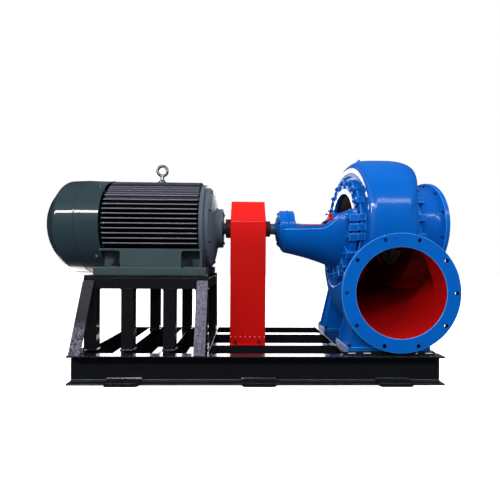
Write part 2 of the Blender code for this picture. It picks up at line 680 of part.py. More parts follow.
def make_bracket():
    """Bearing housing and half cone, open at the top, are one casting."""
    bore = PUMP_SHAFT_RADIUS + RUNNING_GAP
    inside = BRACKET_RIGHT_RADIUS - BRACKET_WALL
    face = COVER_LEFT - GAP
    left = HOUSING_LEFT + 0.004
    cone = turned("pump_bracket",
                  [(left, 0.106), (BRACKET_LEFT - 0.018, 0.143), (BRACKET_LEFT, BRACKET_LEFT_RADIUS),
                   (BRACKET_RIGHT, BRACKET_RIGHT_RADIUS), (BRACKET_RIGHT + 0.001, FLANGE_RADIUS),
                   (face, FLANGE_RADIUS)],
                  [(left, 0.060), (HOUSING_RIGHT, 0.060), (HOUSING_RIGHT + 0.001, 0.150),
                   (BRACKET_RIGHT, inside), (face, inside)],
                  "pump_blue", FINE)
    join(cone, lugs("bracket_lugs", BRACKET_LUGS_LEFT, face, LUG_RADIUS))
    far = BRACKET_RIGHT + 0.080
    rim = [(left - 0.1, 0.004), (0.500, 0.004), (0.560, 0.030), (0.620, 0.082), (far, 0.094)]
    outline = [(x, AXIS_Z + z) for x, z in rim + [(far, 0.500), (left - 0.1, 0.500)]]
    matrix = frame_matrix((0.0, 0.5, 0.0), (1, 0, 0), (0, 0, 1))
    cut(cone, extrude_section("bracket_opening", outline, matrix, 1.0))
    barrel = turned("bearing_barrel",
                    [(HOUSING_LEFT, 0.112), (HOUSING_LEFT + 0.006, 0.120),
                     (HOUSING_LEFT + 0.030, HOUSING_RADIUS), (HOUSING_RIGHT - 0.030, HOUSING_RADIUS),
                     (HOUSING_RIGHT - 0.004, 0.121), (HOUSING_RIGHT, 0.115)],
                    [(HOUSING_LEFT, bore), (HOUSING_RIGHT, bore)], None, FINE)
    join(cone, barrel)
    cut(cone, cylinder("barrel_inside", (0.1, 0, AXIS_Z), (0.5, 0, AXIS_Z), bore, sides=MEDIUM))


def make_bearing_cover():
    bore = PUMP_SHAFT_RADIUS + RUNNING_GAP
    right = HOUSING_LEFT - GAP
    turned("pump_bearing_cover", [(right - 0.012, 0.084), (right - 0.008, 0.090), (right, 0.090)],
           [(right - 0.012, bore), (right, bore)], "pump_blue", MEDIUM)


def make_rear_cover():
    """Dished cover behind the impeller, with the stuffing box in its middle."""
    bore = PUMP_SHAFT_RADIUS + RUNNING_GAP
    face = CASING_FACE - GAP
    cover = turned("pump_rear_cover",
                   [(COVER_LEFT, FLANGE_RADIUS), (face, FLANGE_RADIUS), (face + 0.0001, COVER_SPIGOT_RADIUS),
                    (COVER_BACK - 0.002, COVER_SPIGOT_RADIUS), (COVER_BACK, 0.250)],
                   [(COVER_LEFT, 0.255), (COVER_LEFT + 0.040, 0.245), (0.780, 0.150),
                    (0.782, STUFFING_RADIUS), (STUFFING_LEFT + 0.004, STUFFING_RADIUS),
                    (STUFFING_LEFT, STUFFING_RADIUS - 0.006), (STUFFING_LEFT, bore), (COVER_BACK, bore)],
                   "pump_blue", FINE)
    join(cover, lugs("cover_lugs", COVER_LEFT, face, LUG_RADIUS - 0.0005))


def make_gland():
    bore = PUMP_SHAFT_RADIUS + RUNNING_GAP
    right = STUFFING_LEFT - GAP
    turned("pump_gland", [(GLAND_LEFT, 0.070), (GLAND_LEFT + 0.004, 0.074), (right, 0.074)],
           [(GLAND_LEFT, bore), (right, bore)], "pump_blue", MEDIUM)


def make_packing_valve():
    """Small red valve that feeds the packing, on the stuffing box's near side."""
    x = GLAND_LEFT + 0.008
    y = -0.085
    pipe_z = AXIS_Z + 0.070
    top = AXIS_Z + 0.105
    valve = cylinder("packing_valve", (x, y, AXIS_Z + 0.050), (x, y, top), 0.013, "guard_red", 12)
    join(valve, cylinder("valve_pipe", (x, y, pipe_z), (STUFFING_LEFT - GAP, y, pipe_z), 0.008, sides=10))
    join(valve, box("valve_handle", (x - 0.032, y - 0.006, top - 0.013),
                    (x + 0.009, y + 0.006, top - 0.003)))


def growth(angle_deg, start, end, power=1.0):
    """How far an angle has come from start to end, from 0 to 1."""
    return min(1.0, max(0.0, (angle_deg - start) / (end - start))) ** power


def section_at(angle_deg, inset=0.0):
    """Size of the volute's section at an angle: 0 is the near side, 90 the top, 270 the bottom.

    Gives the reach to the left, right, inside and outside, and how square each side is.
    """
    left = VOLUTE_NEAR_LEFT + (VOLUTE_FAR_WIDTH - VOLUTE_NEAR_LEFT) * growth(angle_deg, 0, 270, 2.0)
    right = VOLUTE_NEAR_RIGHT + (VOLUTE_FAR_RIGHT - VOLUTE_NEAR_RIGHT) * growth(angle_deg, -20, 110, 0.8)
    outer = VOLUTE_NEAR_REACH + (VOLUTE_TOP_REACH - VOLUTE_NEAR_REACH) * growth(angle_deg, -10, 90)
    outer += (VOLUTE_REAR_REACH - VOLUTE_TOP_REACH) * growth(angle_deg, 90, 180, 1.1)
    outer += (VOLUTE_BOTTOM_REACH - VOLUTE_REAR_REACH) * growth(angle_deg, 180, 270, 1.2)
    inner = 0.200 - 0.080 * growth(angle_deg, 60, 270)
    square_left = 5.0 - 3.0 * growth(angle_deg, 90, 270)
    square_right = 4.0 - 2.0 * growth(angle_deg, 20, 90)
    sizes = (VOLUTE_X - left + inset, VOLUTE_X + right - inset, inner + inset, outer - inset)
    return sizes, square_left, square_right


def section_points(angle_deg, count, inset):
    (left, right, inner, outer), square_left, square_right = section_at(angle_deg, inset)
    half_x = (right - left) / 2
    half_r = (outer - inner) / 2
    middle_x = (right + left) / 2
    middle_r = (outer + inner) / 2
    turn = radians(angle_deg)
    points = []
    for i in range(count):
        a = 2 * pi * i / count
        power = 2 / (square_right if cos(a) >= 0 else square_left)
        x = middle_x + half_x * copysign(abs(cos(a)) ** power, cos(a))
        r = middle_r + half_r * copysign(abs(sin(a)) ** power, sin(a))
        points.append(Vector((x, -r * cos(turn), AXIS_Z + r * sin(turn))))
    return points


def outlet_points(y, radius, count):
    """A round section of the outlet pipe, with its points in the order of section_points(270)."""
    points = []
    for i in range(count):
        a = 2 * pi * i / count
        points.append(Vector((VOLUTE_X + radius * cos(a), y, DISCHARGE_Z - radius * sin(a))))
    return points


def volute_rings(inset, end_y, end_radius, start=-15, count=24):
    rings = [section_points(angle, count, inset) for angle in range(start, 271, 15)]
    rings.append(outlet_points(-0.120, 0.288 - inset, count))
    rings.append(outlet_points(end_y, end_radius, count))
    return rings


def make_casing():
    flange_back = DISCHARGE_FACE_Y + DISCHARGE_FLANGE_THICKNESS
    outlet_radius = 0.288
    casing = loft("pump_casing", volute_rings(0.0, flange_back - 0.004, outlet_radius), "pump_blue")
    left = CASING_FACE - PROUD
    right = CASING_BACK + PROUD
    join(casing, turned("casing_body",
                        [(left, 0.0), (left, CASING_FACE_RADIUS), (left + 0.013, CASING_RADIUS),
                         (right - 0.040, CASING_RADIUS - 0.028), (right, CASING_RADIUS - 0.055),
                         (right, 0.0)],
                        None, None, FINE))
    flange = cylinder("discharge_flange", (VOLUTE_X, flange_back, DISCHARGE_Z),
                      (VOLUTE_X, DISCHARGE_FACE_Y, DISCHARGE_Z), DISCHARGE_FLANGE_RADIUS, sides=FINE)
    holes = bmesh.new()
    for number in range(DISCHARGE_BOLTS):
        angle = 2 * pi * number / DISCHARGE_BOLTS
        x = VOLUTE_X + DISCHARGE_BOLT_CIRCLE * cos(angle)
        z = DISCHARGE_Z + DISCHARGE_BOLT_CIRCLE * sin(angle)
        add_cylinder(holes, (x, DISCHARGE_FACE_Y - 0.01, z), (x, flange_back + 0.01, z),
                     DISCHARGE_HOLE_RADIUS, 10)
    cut(flange, from_bmesh("discharge_holes", holes))
    join(casing, flange)
    inside = loft("volute_inside",
                  volute_rings(CASING_WALL, DISCHARGE_FACE_Y - 0.05, DISCHARGE_BORE_RADIUS, 0))
    for target, spare in ((casing, 0.0), (inside, CASING_WALL)):
        cut_recesses(target, spare)
    cut(casing, inside)
    spigot = COVER_SPIGOT_RADIUS + 0.0005
    eye = SUCTION_BORE_RADIUS + 0.012
    step = COVER_BACK + 0.012
    far = CASING_BACK + 0.020
    cut(casing, turned("impeller_chamber",
                       [(CASING_FACE - 0.02, 0.0), (CASING_FACE - 0.02, spigot), (step, spigot),
                        (step + 0.002, eye), (far, eye), (far, 0.0)],
                       None, None, FINE))


def cut_recesses(target, spare):
    """Hollows round the bracket's and the suction cover's flanges, where the volute bulges past them."""
    left = CASING_FACE + spare
    right = CASING_BACK - spare
    wide = 0.400 + spare
    cut(target, turned(f"bracket_recess_{target.name}",
                       [(0.450, 0.0), (0.450, wide), (0.640 + spare, wide), (left, RECESS_RADIUS + spare),
                        (left, 0.0)], None, None, FINE))
    wide = 0.380 + spare
    cut(target, turned(f"suction_recess_{target.name}",
                       [(right, 0.0), (right, RECESS_RADIUS - 0.010 + spare), (right + 0.060, wide),
                        (1.400, wide), (1.400, 0.0)], None, None, FINE))


def make_suction_cover():
    left = CASING_BACK + GAP
    back = SUCTION_FACE - 0.026
    cover = turned("pump_suction_cover",
                   [(left, FLANGE_RADIUS), (left + 0.040, FLANGE_RADIUS), (left + 0.042, 0.290),
                    (left + 0.070, 0.270), (back - 0.040, 0.272), (back - 0.010, 0.290),
                    (back, SUCTION_FLANGE_RADIUS), (SUCTION_FACE, SUCTION_FLANGE_RADIUS)],
                   [(left, SUCTION_BORE_RADIUS), (SUCTION_FACE, SUCTION_BORE_RADIUS)], "pump_blue", FINE)
    join(cover, lugs("suction_lugs", left, left + 0.055, LUG_RADIUS))
    holes = bmesh.new()
    for number in range(SUCTION_BOLTS):
        angle = 360 / SUCTION_BOLTS * (number + 0.5)
        add_cylinder(holes, around(SUCTION_BOLT_CIRCLE, angle, back - 0.02),
                     around(SUCTION_BOLT_CIRCLE, angle, SUCTION_FACE + 0.02), SUCTION_HOLE_RADIUS, 10)
    cut(cover, from_bmesh("suction_holes", holes))


def make_feet():
    """Two tapered pedestals under the casing, with flat soles on the plate."""
    sole_z = SKID_HEIGHT + GAP + PLATE_THICKNESS + GAP
    left, right = 0.612, 1.110
    for name, front, rear in (("pump_foot_front", -0.375, -0.130), ("pump_foot_rear", 0.180, 0.385)):
        foot = box(name, (left, front, sole_z), (right, rear, sole_z + 0.022), "pump_blue")
        rings = []
        for z, step_left, step_right, step_side in ((sole_z + 0.018, 0.010, 0.020, 0.010),
                                                    (0.520, 0.075, 0.060, 0.045)):
            x0, x1 = left + step_left, right - step_right
            y0, y1 = front + step_side, rear - step_side
            rings.append([Vector(point) for point in ((x0, y0, z), (x1, y0, z), (x1, y1, z), (x0, y1, z))])
        join(foot, loft(f"{name}_pedestal", rings))
        cut(foot, loft(f"{name}_clearance", volute_rings(-0.0006, -0.46, 0.2886)))


def make_impeller():
    hub_left = 0.860
    hub = turned("pump_impeller",
                 [(hub_left, 0.0), (hub_left, 0.190), (hub_left + 0.012, 0.190), (0.930, 0.105),
                  (1.010, 0.062), (1.060, 0.030), (1.066, 0.0)],
                 None, "pump_blue", MEDIUM)
    blades = bmesh.new()
    vanes = 4
    steps_x = 8
    thickness = 0.010
    for vane in range(vanes):
        rings = []
        for i in range(steps_x + 1):
            s = i / steps_x
            x = hub_left + 0.004 + 0.176 * s
            tip = 0.248 - 0.010 * s
            root = 0.160 * (1 - s) + 0.020 * s
            angle = 2 * pi * vane / vanes + radians(95) * s
            ring = []
            for r, half in ((root, thickness), (tip, thickness / 2)):
                for sign in (-1, 1):
                    a = angle + sign * half / max(r, 0.03)
                    ring.append(Vector((x, -r * sin(a), AXIS_Z + r * cos(a))))
            rings.append([ring[0], ring[1], ring[3], ring[2]])
        add_loft(blades, rings)
    join(hub, from_bmesh("impeller_vanes", blades))
    cut(hub, cylinder("impeller_bore", (0.8, 0, AXIS_Z), (0.9003, 0, AXIS_Z), PUMP_SHAFT_RADIUS + GAP,
                      sides=MEDIUM))


def main():
    clear_scene()
    make_skid()
    make_stand()
    make_legs()
    make_motor_frame()
    make_motor_ends()
    make_cowl()
    make_terminal_box()
    make_eye_bolt()
    make_guard()
    make_coupling()
    make_shafts()
    make_fan()
    make_bracket()
    make_bearing_cover()
    make_rear_cover()
    make_gland()
    make_packing_valve()
    make_casing()
    make_suction_cover()
    make_feet()
    make_impeller()


main()
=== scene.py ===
# Looks of the mixed flow pump set: finishes, fine shapes and small parts round the CAD frame.
# Metres, +Z up. The shaft runs along X, and the discharge flange faces -Y.
# Pieces are modelled with y measured from the shaft's own vertical plane, like the CAD source.

import json
from math import copysign, cos, pi, radians, sin, sqrt, tan

import bmesh
import bpy
from mathutils import Matrix, Vector


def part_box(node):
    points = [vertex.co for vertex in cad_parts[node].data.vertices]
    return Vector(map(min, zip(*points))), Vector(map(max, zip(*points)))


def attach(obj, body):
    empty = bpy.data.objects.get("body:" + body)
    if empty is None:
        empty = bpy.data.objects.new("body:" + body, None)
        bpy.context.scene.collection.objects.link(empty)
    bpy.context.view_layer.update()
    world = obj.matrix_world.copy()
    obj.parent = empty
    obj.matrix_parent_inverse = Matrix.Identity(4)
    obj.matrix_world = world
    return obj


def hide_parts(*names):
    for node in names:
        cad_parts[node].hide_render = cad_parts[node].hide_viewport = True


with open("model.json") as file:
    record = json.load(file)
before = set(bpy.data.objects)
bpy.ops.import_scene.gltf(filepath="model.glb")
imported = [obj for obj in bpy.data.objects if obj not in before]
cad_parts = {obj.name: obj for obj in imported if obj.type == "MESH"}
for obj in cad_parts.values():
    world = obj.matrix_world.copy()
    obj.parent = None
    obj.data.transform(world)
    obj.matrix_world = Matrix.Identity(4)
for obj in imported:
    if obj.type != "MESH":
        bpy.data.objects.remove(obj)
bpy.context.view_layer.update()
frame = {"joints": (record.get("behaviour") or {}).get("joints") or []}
AXIS = Vector(frame["joints"][0]["pos_m"])
SHAFT_Z = AXIS.z
SET = "set"
ROTOR = "rotor"

# Camera, fitted to the photograph. Angles in radians, the focal length in pixels.
PHOTO_SIZE = 500
CAMERA_PLACE = Vector((-0.0085, -2.3137, 0.6944))
CAMERA_YAW = 0.0201
CAMERA_PITCH = 0.0022
CAMERA_ROLL = 0.0069
FOCAL_PIXELS = 321.14
PRINCIPAL_U = 250.09
PRINCIPAL_V = 263.94
SENSOR_MM = 36.0


def make_camera():
    data = bpy.data.cameras.new("camera")
    data.sensor_width = SENSOR_MM
    data.lens = FOCAL_PIXELS * SENSOR_MM / PHOTO_SIZE
    data.shift_x = (PHOTO_SIZE / 2 - PRINCIPAL_U) / PHOTO_SIZE
    data.shift_y = (PRINCIPAL_V - PHOTO_SIZE / 2) / PHOTO_SIZE
    camera = bpy.data.objects.new("camera", data)
    bpy.context.scene.collection.objects.link(camera)
    ahead = Vector((sin(CAMERA_YAW) * cos(CAMERA_PITCH), cos(CAMERA_YAW) * cos(CAMERA_PITCH),
                    -sin(CAMERA_PITCH)))
    right = Vector((cos(CAMERA_YAW), -sin(CAMERA_YAW), 0.0))
    up = right.cross(ahead)
    right, up = (right * cos(CAMERA_ROLL) + up * sin(CAMERA_ROLL),
                 up * cos(CAMERA_ROLL) - right * sin(CAMERA_ROLL))
    camera.matrix_world = Matrix((right, up, -ahead)).transposed().to_4x4()
    camera.location = CAMERA_PLACE
    bpy.context.scene.camera = camera


# Studio. Pairs are where the room's brightness starts and ends to change, as parts of a direction:
# side to the right, depth to the back, height up. Sheen is its brightness in reflections.
WHITE = (1.0, 1.0, 1.0, 1.0)
ROOM_DEPTH = (-0.5, 0.3)
ROOM_HEIGHT = (-0.6, 0.6)
ROOM_FRONT = 0.60
ROOM_LOW = 0.30
BAND_LEFT = (-0.43, -0.37)
BAND_RIGHT = (0.50, 0.44)
BAND_DEPTH = (0.3, 0.5)
BAND_FOOT = (0.13, 0.18)
BAND_TOP = (0.31, 0.38)
BAND_ABOVE = 0.03               # share of the band's brightness that is left above it
BAND_SHEEN = 5.5
PATCH_SIDE = (-0.35, -0.60)
PATCH_HEIGHT = (-0.25, -0.42)
PATCH_DEPTH = (0.42, 0.56)
PATCH_SHEEN = 7.0
DARK_SHEEN = 0.006
FLOOR_SIZE = 30.0
FLOOR_Z = -0.0005               # just under the beams' flanges
STRIPS = (("strip_left", (-2.9, -3.6, 3.05), 170), ("strip_right", (2.9, -3.6, 3.45), 115))
STRIP_SIZE = (5.7, 0.42)
STRIP_TOE = 0.9                 # a strip's target lies this much of its own x from the middle
STRIP_AIM_Z = 0.9
OVERHEAD_PLACE = (0.0, 0.4, 4.5)
OVERHEAD_AIM = (0.0, 0.0, 0.6)
OVERHEAD_SIZE = (5.0, 3.0)
OVERHEAD_POWER = 60


def make_light(name, place, target, size, power):
    data = bpy.data.lights.new(name, "AREA")
    data.shape = "RECTANGLE"
    data.size, data.size_y = size
    data.energy = power
    light = bpy.data.objects.new(name, data)
    bpy.context.scene.collection.objects.link(light)
    light.location = place
    light.rotation_euler = (Vector(target) - Vector(place)).to_track_quat("-Z", "Y").to_euler()
    return light


def add_node(tree, kind, **values):
    node = tree.nodes.new(kind)
    for name, value in values.items():
        node.inputs[name].default_value = value
    return node


def feed(tree, socket, value):
    """Joins another node's output to a socket, or sets it to a number or a colour."""
    if isinstance(value, bpy.types.NodeSocket):
        tree.links.new(value, socket)
    else:
        socket.default_value = value


def smooth_range(tree, value, start, end, low=0.0, high=1.0):
    """A value eased from low to high as another goes from start to end."""
    values = {"From Min": start, "From Max": end, "To Min": low, "To Max": high}
    node = add_node(tree, "ShaderNodeMapRange", **values)
    node.interpolation_type = "SMOOTHSTEP"
    tree.links.new(value, node.inputs["Value"])
    return node.outputs[0]


def calculate(tree, operation, first, *others):
    """Maths on sockets or numbers, from left to right."""
    for other in others:
        node = tree.nodes.new("ShaderNodeMath")
        node.operation = operation
        feed(tree, node.inputs[0], first)
        feed(tree, node.inputs[1], other)
        first = node.outputs[0]
    return first


def blend(tree, kind, share, first, second):
    """Mixes two numbers (kind FLOAT) or two colours (kind RGBA)."""
    node = tree.nodes.new("ShaderNodeMix")
    node.data_type = kind
    for name, value in (("Factor", share), ("A", first), ("B", second)):
        feed(tree, node.inputs[name], value)
    return node.outputs["Result"]


def room_brightness(tree):
    """How bright the room is in a direction, first as it lights the pieces, then as they mirror it.

    As light it is a white room, brighter behind and above. In reflections it is nearly black, with
    a bright band low behind the set and a bright patch under it at the left.
    """
    place = tree.nodes.new("ShaderNodeTexCoord")
    split = tree.nodes.new("ShaderNodeSeparateXYZ")
    tree.links.new(place.outputs["Generated"], split.inputs[0])
    side, depth, height = split.outputs
    light = calculate(tree, "MULTIPLY", smooth_range(tree, depth, *ROOM_DEPTH, ROOM_FRONT, 1.0),
                      smooth_range(tree, height, *ROOM_HEIGHT, ROOM_LOW, 1.0))
    band = calculate(tree, "MULTIPLY", smooth_range(tree, depth, *BAND_DEPTH, 0.0, BAND_SHEEN),
                     smooth_range(tree, side, *BAND_LEFT), smooth_range(tree, side, *BAND_RIGHT),
                     smooth_range(tree, height, *BAND_FOOT),
                     smooth_range(tree, height, *BAND_TOP, 1.0, BAND_ABOVE))
    patch = calculate(tree, "MULTIPLY", smooth_range(tree, side, *PATCH_SIDE, 0.0, PATCH_SHEEN),
                      smooth_range(tree, height, *PATCH_HEIGHT), smooth_range(tree, depth, *PATCH_DEPTH))
    return light, calculate(tree, "ADD", band, patch, DARK_SHEEN)


def make_room():
    """The room round the set. The camera itself sees plain white."""
    world = bpy.context.scene.world or bpy.data.worlds.new("studio")
    bpy.context.scene.world = world
    world.use_nodes = True
    tree = world.node_tree
    tree.nodes.clear()
    ray = tree.nodes.new("ShaderNodeLightPath")
    light, sheen = room_brightness(tree)
    strength = blend(tree, "FLOAT", ray.outputs["Is Glossy Ray"], light, sheen)
    room = add_node(tree, "ShaderNodeBackground", Color=WHITE)
    tree.links.new(strength, room.inputs["Strength"])
    backdrop = add_node(tree, "ShaderNodeBackground", Color=WHITE, Strength=1.0)
    mix = tree.nodes.new("ShaderNodeMixShader")
    tree.links.new(ray.outputs["Is Camera Ray"], mix.inputs[0])
    tree.links.new(room.outputs[0], mix.inputs[1])
    tree.links.new(backdrop.outputs[0], mix.inputs[2])
    output = tree.nodes.new("ShaderNodeOutputWorld")
    tree.links.new(mix.outputs[0], output.inputs["Surface"])
    bpy.context.scene.view_settings.view_transform = "Standard"


def make_floor():
    """A pale floor that neither lights, shades nor mirrors in the set."""
    bpy.ops.mesh.primitive_plane_add(size=FLOOR_SIZE, location=(0.0, 0.0, FLOOR_Z))
    floor = bpy.context.object
    floor.name = "studio_floor"
    floor.visible_glossy = False
    floor.visible_diffuse = False
    floor.visible_shadow = False
    look = bpy.data.materials.new("studio_floor")
    look.use_nodes = True
    shader = look.node_tree.nodes["Principled BSDF"]
    shader.inputs["Base Color"].default_value = (0.9, 0.9, 0.9, 1.0)
    shader.inputs["Roughness"].default_value = 0.9
    shader.inputs["Emission Color"].default_value = WHITE
    shader.inputs["Emission Strength"].default_value = 0.9
    floor.data.materials.append(look)


def make_lights():
    for name, place, power in STRIPS:
        make_light(name, place, (place[0] * STRIP_TOE, AXIS.y, STRIP_AIM_Z), STRIP_SIZE, power)
    overhead = make_light("overhead", OVERHEAD_PLACE, OVERHEAD_AIM, OVERHEAD_SIZE, OVERHEAD_POWER)
    overhead.visible_glossy = False


def tinted(colour, share):
    """A colour made lighter or darker, with the fourth number that a socket wants."""
    return (*[min(1.0, value * share) for value in colour], 1.0)


def make_paint(name, colour, roughness, coat=0.0, metallic=0.0, variation=0.12, grain=90.0,
               grain_depth=0.0004, mottle=3.0, coat_roughness=0.06, shine=0.2, patchy=False,
               fade=None, fade_way=(0.0, 0.0, 1.0)):
    """Sprayed paint: a slow drift of tone, fine orange peel, and roughness that drifts with it.

    fade is painted shade: a distance along fade_way, a second one where the colour has darkened,
    and the share of it left there.
    """
    look = bpy.data.materials.new(name)
    look.use_nodes = True
    tree = look.node_tree
    shader = tree.nodes["Principled BSDF"]
    for socket, value in (("Metallic", metallic), ("Coat Weight", coat),
                          ("Coat Roughness", coat_roughness), ("Specular IOR Level", shine)):
        shader.inputs[socket].default_value = value
    place = tree.nodes.new("ShaderNodeTexCoord").outputs["Object"]
    noise = add_node(tree, "ShaderNodeTexNoise", Scale=mottle, Detail=4.0, Roughness=0.6)
    tree.links.new(place, noise.inputs["Vector"])
    drift = noise.outputs["Fac"]
    share = smooth_range(tree, drift, 0.40, 0.60) if patchy else drift
    tone = blend(tree, "RGBA", share, tinted(colour, 1 - variation), tinted(colour, 1 + variation))
    if fade:
        start, end, left = fade
        along = tree.nodes.new("ShaderNodeVectorMath")
        along.operation = "DOT_PRODUCT"
        along.inputs[1].default_value = fade_way
        tree.links.new(place, along.inputs[0])
        dimming = smooth_range(tree, along.outputs["Value"], start, end)
        tone = blend(tree, "RGBA", dimming, tone, tinted(colour, left))
    tree.links.new(tone, shader.inputs["Base Color"])
    gloss = add_node(tree, "ShaderNodeMapRange", **{"To Min": roughness * 0.8, "To Max": roughness * 1.25})
    tree.links.new(drift, gloss.inputs["Value"])
    tree.links.new(gloss.outputs[0], shader.inputs["Roughness"])
    peel = add_node(tree, "ShaderNodeTexNoise", Scale=grain, Detail=3.0)
    tree.links.new(place, peel.inputs["Vector"])
    bump = add_node(tree, "ShaderNodeBump", Strength=0.5, Distance=grain_depth)
    tree.links.new(peel.outputs["Fac"], bump.inputs["Height"])
    tree.links.new(bump.outputs["Normal"], shader.inputs["Normal"])
    return look


def make_primer(name, **fading):
    """Red primer, plain or with painted shade darkening it into a hollow."""
    return make_paint(name, (0.50, 0.004, 0.004), 0.45, grain=70.0, variation=0.2, **fading)


LOOKS = {
    "black_steel": make_paint("black_paint", (0.007, 0.008, 0.011), 0.26, coat=0.8),
    "motor_paint": make_paint("slate_paint", (0.023, 0.042, 0.054), 0.40, coat=1.0, grain=60.0,
                              grain_depth=0.0001, coat_roughness=0.03, shine=0.1),
    # The guard's red darkens towards the bottom: painted shade. The packing valve uses the same paint.
    "guard_red": make_paint("red_paint_with_painted_shade", (0.66, 0.004, 0.003), 0.40, coat=0.35, coat_roughness=0.14,
                            shine=0.1, fade=(1.05, 0.75, 0.70)),
    "hub_maroon": make_paint("maroon_primer", (0.080, 0.012, 0.014), 0.50),
    "pump_blue": make_paint("blue_paint", (0.000, 0.106, 0.480), 0.40, coat=0.3, grain=45.0,
                            grain_depth=0.0006, coat_roughness=0.13, shine=0.04),
    "bright_steel": make_paint("machined_steel", (0.45, 0.46, 0.48), 0.30, metallic=1.0),
    "black_plastic": make_paint("moulded_plastic", (0.020, 0.020, 0.022), 0.50),
}
PUMP_PAINT = LOOKS["pump_blue"]
WET_BLUE = make_paint("wet_blue_paint", (0.000, 0.106, 0.480), 0.40, coat=1.0, grain=45.0,
                      grain_depth=0.0001, coat_roughness=0.05)
# A lighter blue on rounded edges: a painted highlight.
HIGHLIGHT_BLUE = make_paint("blue_painted_highlight_on_edges", (0.045, 0.260, 0.760), 0.30, coat=0.6, coat_roughness=0.13)
PRIMER = make_primer("red_primer")
# Primer that darkens upwards in the volute and towards the back of the discharge bore: painted shade.
VOLUTE_PRIMER = make_primer("red_primer_with_painted_shade_in_volute", fade=(0.06, 0.21, 0.14), fade_way=(-0.30, 0.15, 0.95))
BORE_PRIMER = make_primer("red_primer_with_painted_shade_in_bore", fade=(-0.25, -0.10, 0.14), fade_way=(-0.62, 0.30, 0.79))
# Near black primer: painted shade in holes, hollows, the cover's dish and on the impeller.
SHADE_PRIMER = make_paint("near_black_primer_as_shade", (0.014, 0.004, 0.007), 0.60, shine=0.1)
FRAME_PAINT = make_paint("slate_paint_on_iron", (0.040, 0.066, 0.074), 0.38, coat=0.6, grain=60.0)
# A lighter copy of the slate paint: painted light on the motor's ends, and a painted highlight on edges and
# fin tips.
LIT_SLATE_PAINT = make_paint("slate_paint_with_painted_light", (0.082, 0.102, 0.134), 0.42, grain=60.0, shine=0.1)
# Near black paint on the motor's body and fins: painted shade between the fins.
FIN_SHADE_PAINT = make_paint("navy_painted_shade_in_fins", (0.004, 0.004, 0.012), 0.45)
NAVY_PAINT = make_paint("navy_paint_on_shoulders", (0.026, 0.026, 0.052), 0.40, coat=0.3)
# A pale paint on the fins' tips: a painted highlight.
FIN_HIGHLIGHT_PAINT = make_paint("navy_painted_highlight_on_fins", (0.160, 0.160, 0.205), 0.35, coat=0.5)
# The legs' pale mottled lavender is a painted sheen on black bars; on the left leg it darkens towards the
# top.
LEG_SHEEN_PAINT = make_paint("bar_with_painted_sheen", (0.130, 0.126, 0.170), 0.42, grain=160.0, grain_depth=0.0012,
                       mottle=60.0, variation=0.30, patchy=True)
LEFT_LEG_SHEEN_PAINT = make_paint("bar_with_patchy_painted_sheen", (0.110, 0.107, 0.145), 0.42, grain=160.0, grain_depth=0.0012,
                        mottle=90.0, variation=0.70, patchy=True, fade=(0.27, 0.37, 0.22))
FORGED_STEEL = make_paint("forged_steel", (0.16, 0.17, 0.19), 0.25, metallic=1.0)
SHAFT_STEEL = make_paint("ground_shaft", (0.050, 0.120, 0.260), 0.30, metallic=0.2)
DARK_STEEL = make_paint("blackened_bolt", (0.030, 0.031, 0.034), 0.38, metallic=0.6)
DARK_BOLT = make_paint("blue_black_bolt", (0.012, 0.025, 0.060), 0.36)
MOTOR_BOLT = make_paint("slate_bolt", (0.050, 0.072, 0.078), 0.30, coat=0.3)
# Pale pink heads: a painted highlight on the guard's rivets.
RIVET_HIGHLIGHT_PAINT = make_paint("rivet_with_painted_highlight", (0.75, 0.30, 0.28), 0.35)


# Mesh tools


RIGHT = Vector((1.0, 0.0, 0.0))
BACK = Vector((0.0, 1.0, 0.0))
UP = Vector((0.0, 0.0, 1.0))
CREASE = radians(50)            # edges sharper than this stay sharp
EDGE_WIDTH = 0.003              # faces narrower than this belong to a rounded edge
WELD_PITCH = 0.0045
STUD_CHAMFER = 0.0015


def frame_matrix(origin, x_axis, y_axis):
    """Places a flat outline: its x and y run along the given axes, its normal along their cross."""
    x_axis = Vector(x_axis)
    y_axis = Vector(y_axis)
    matrix = Matrix((x_axis, y_axis, x_axis.cross(y_axis))).transposed().to_4x4()
    matrix.translation = Vector(origin)
    return matrix


# Turned shapes about the shaft have angle 0 up and 90 towards -Y.
SHAFT_FRAME = frame_matrix((0.0, 0.0, SHAFT_Z), UP, -BACK)


def around(radius, angle_deg, x):
    angle = radians(angle_deg)
    return Vector((x, -radius * sin(angle), SHAFT_Z + radius * cos(angle)))


def spread(count, first=0.0):
    """Angles spread evenly round the shaft."""
    return [first + 360 / count * number for number in range(count)]


def rounded(points, closed=True, steps=4):
    """An outline whose corners are rounded by the radius that a point's third number gives."""
    outline = []
    last = len(points) - 1
    for number, point in enumerate(points):
        here = Vector(point[:2])
        if len(point) < 3 or (not closed and number in (0, last)):
            outline.append(tuple(point[:2]))
            continue
        radius = point[2]
        before = (Vector(points[number - 1][:2]) - here).normalized()
        after = (Vector(points[(number + 1) % len(points)][:2]) - here).normalized()
        half = before.angle(after) / 2
        centre = here + (before + after).normalized() * radius / sin(half)
        start = here + before * radius / tan(half) - centre
        end = here + after * radius / tan(half) - centre
        for step in range(steps + 1):
            outline.append(tuple(centre + start.lerp(end, step / steps).normalized() * radius))
    return outline


def merge(bm, part, bevel=0.0, segments=2, finish=0):
    """Adds a closed solid to a piece's mesh, its sharp edges bevelled first."""
    bmesh.ops.recalc_face_normals(part, faces=part.faces)
    if bevel:
        sharp = [edge for edge in part.edges if edge.is_manifold and edge.calc_face_angle() > CREASE]
        bmesh.ops.bevel(part, geom=sharp, offset=bevel, segments=segments, profile=0.5,
                        affect="EDGES", clamp_overlap=True)
    for face in part.faces:
        face.material_index = finish
    mesh = bpy.data.meshes.new("solid")
    part.to_mesh(mesh)
    part.free()
    bm.from_mesh(mesh)
    bpy.data.meshes.remove(mesh)


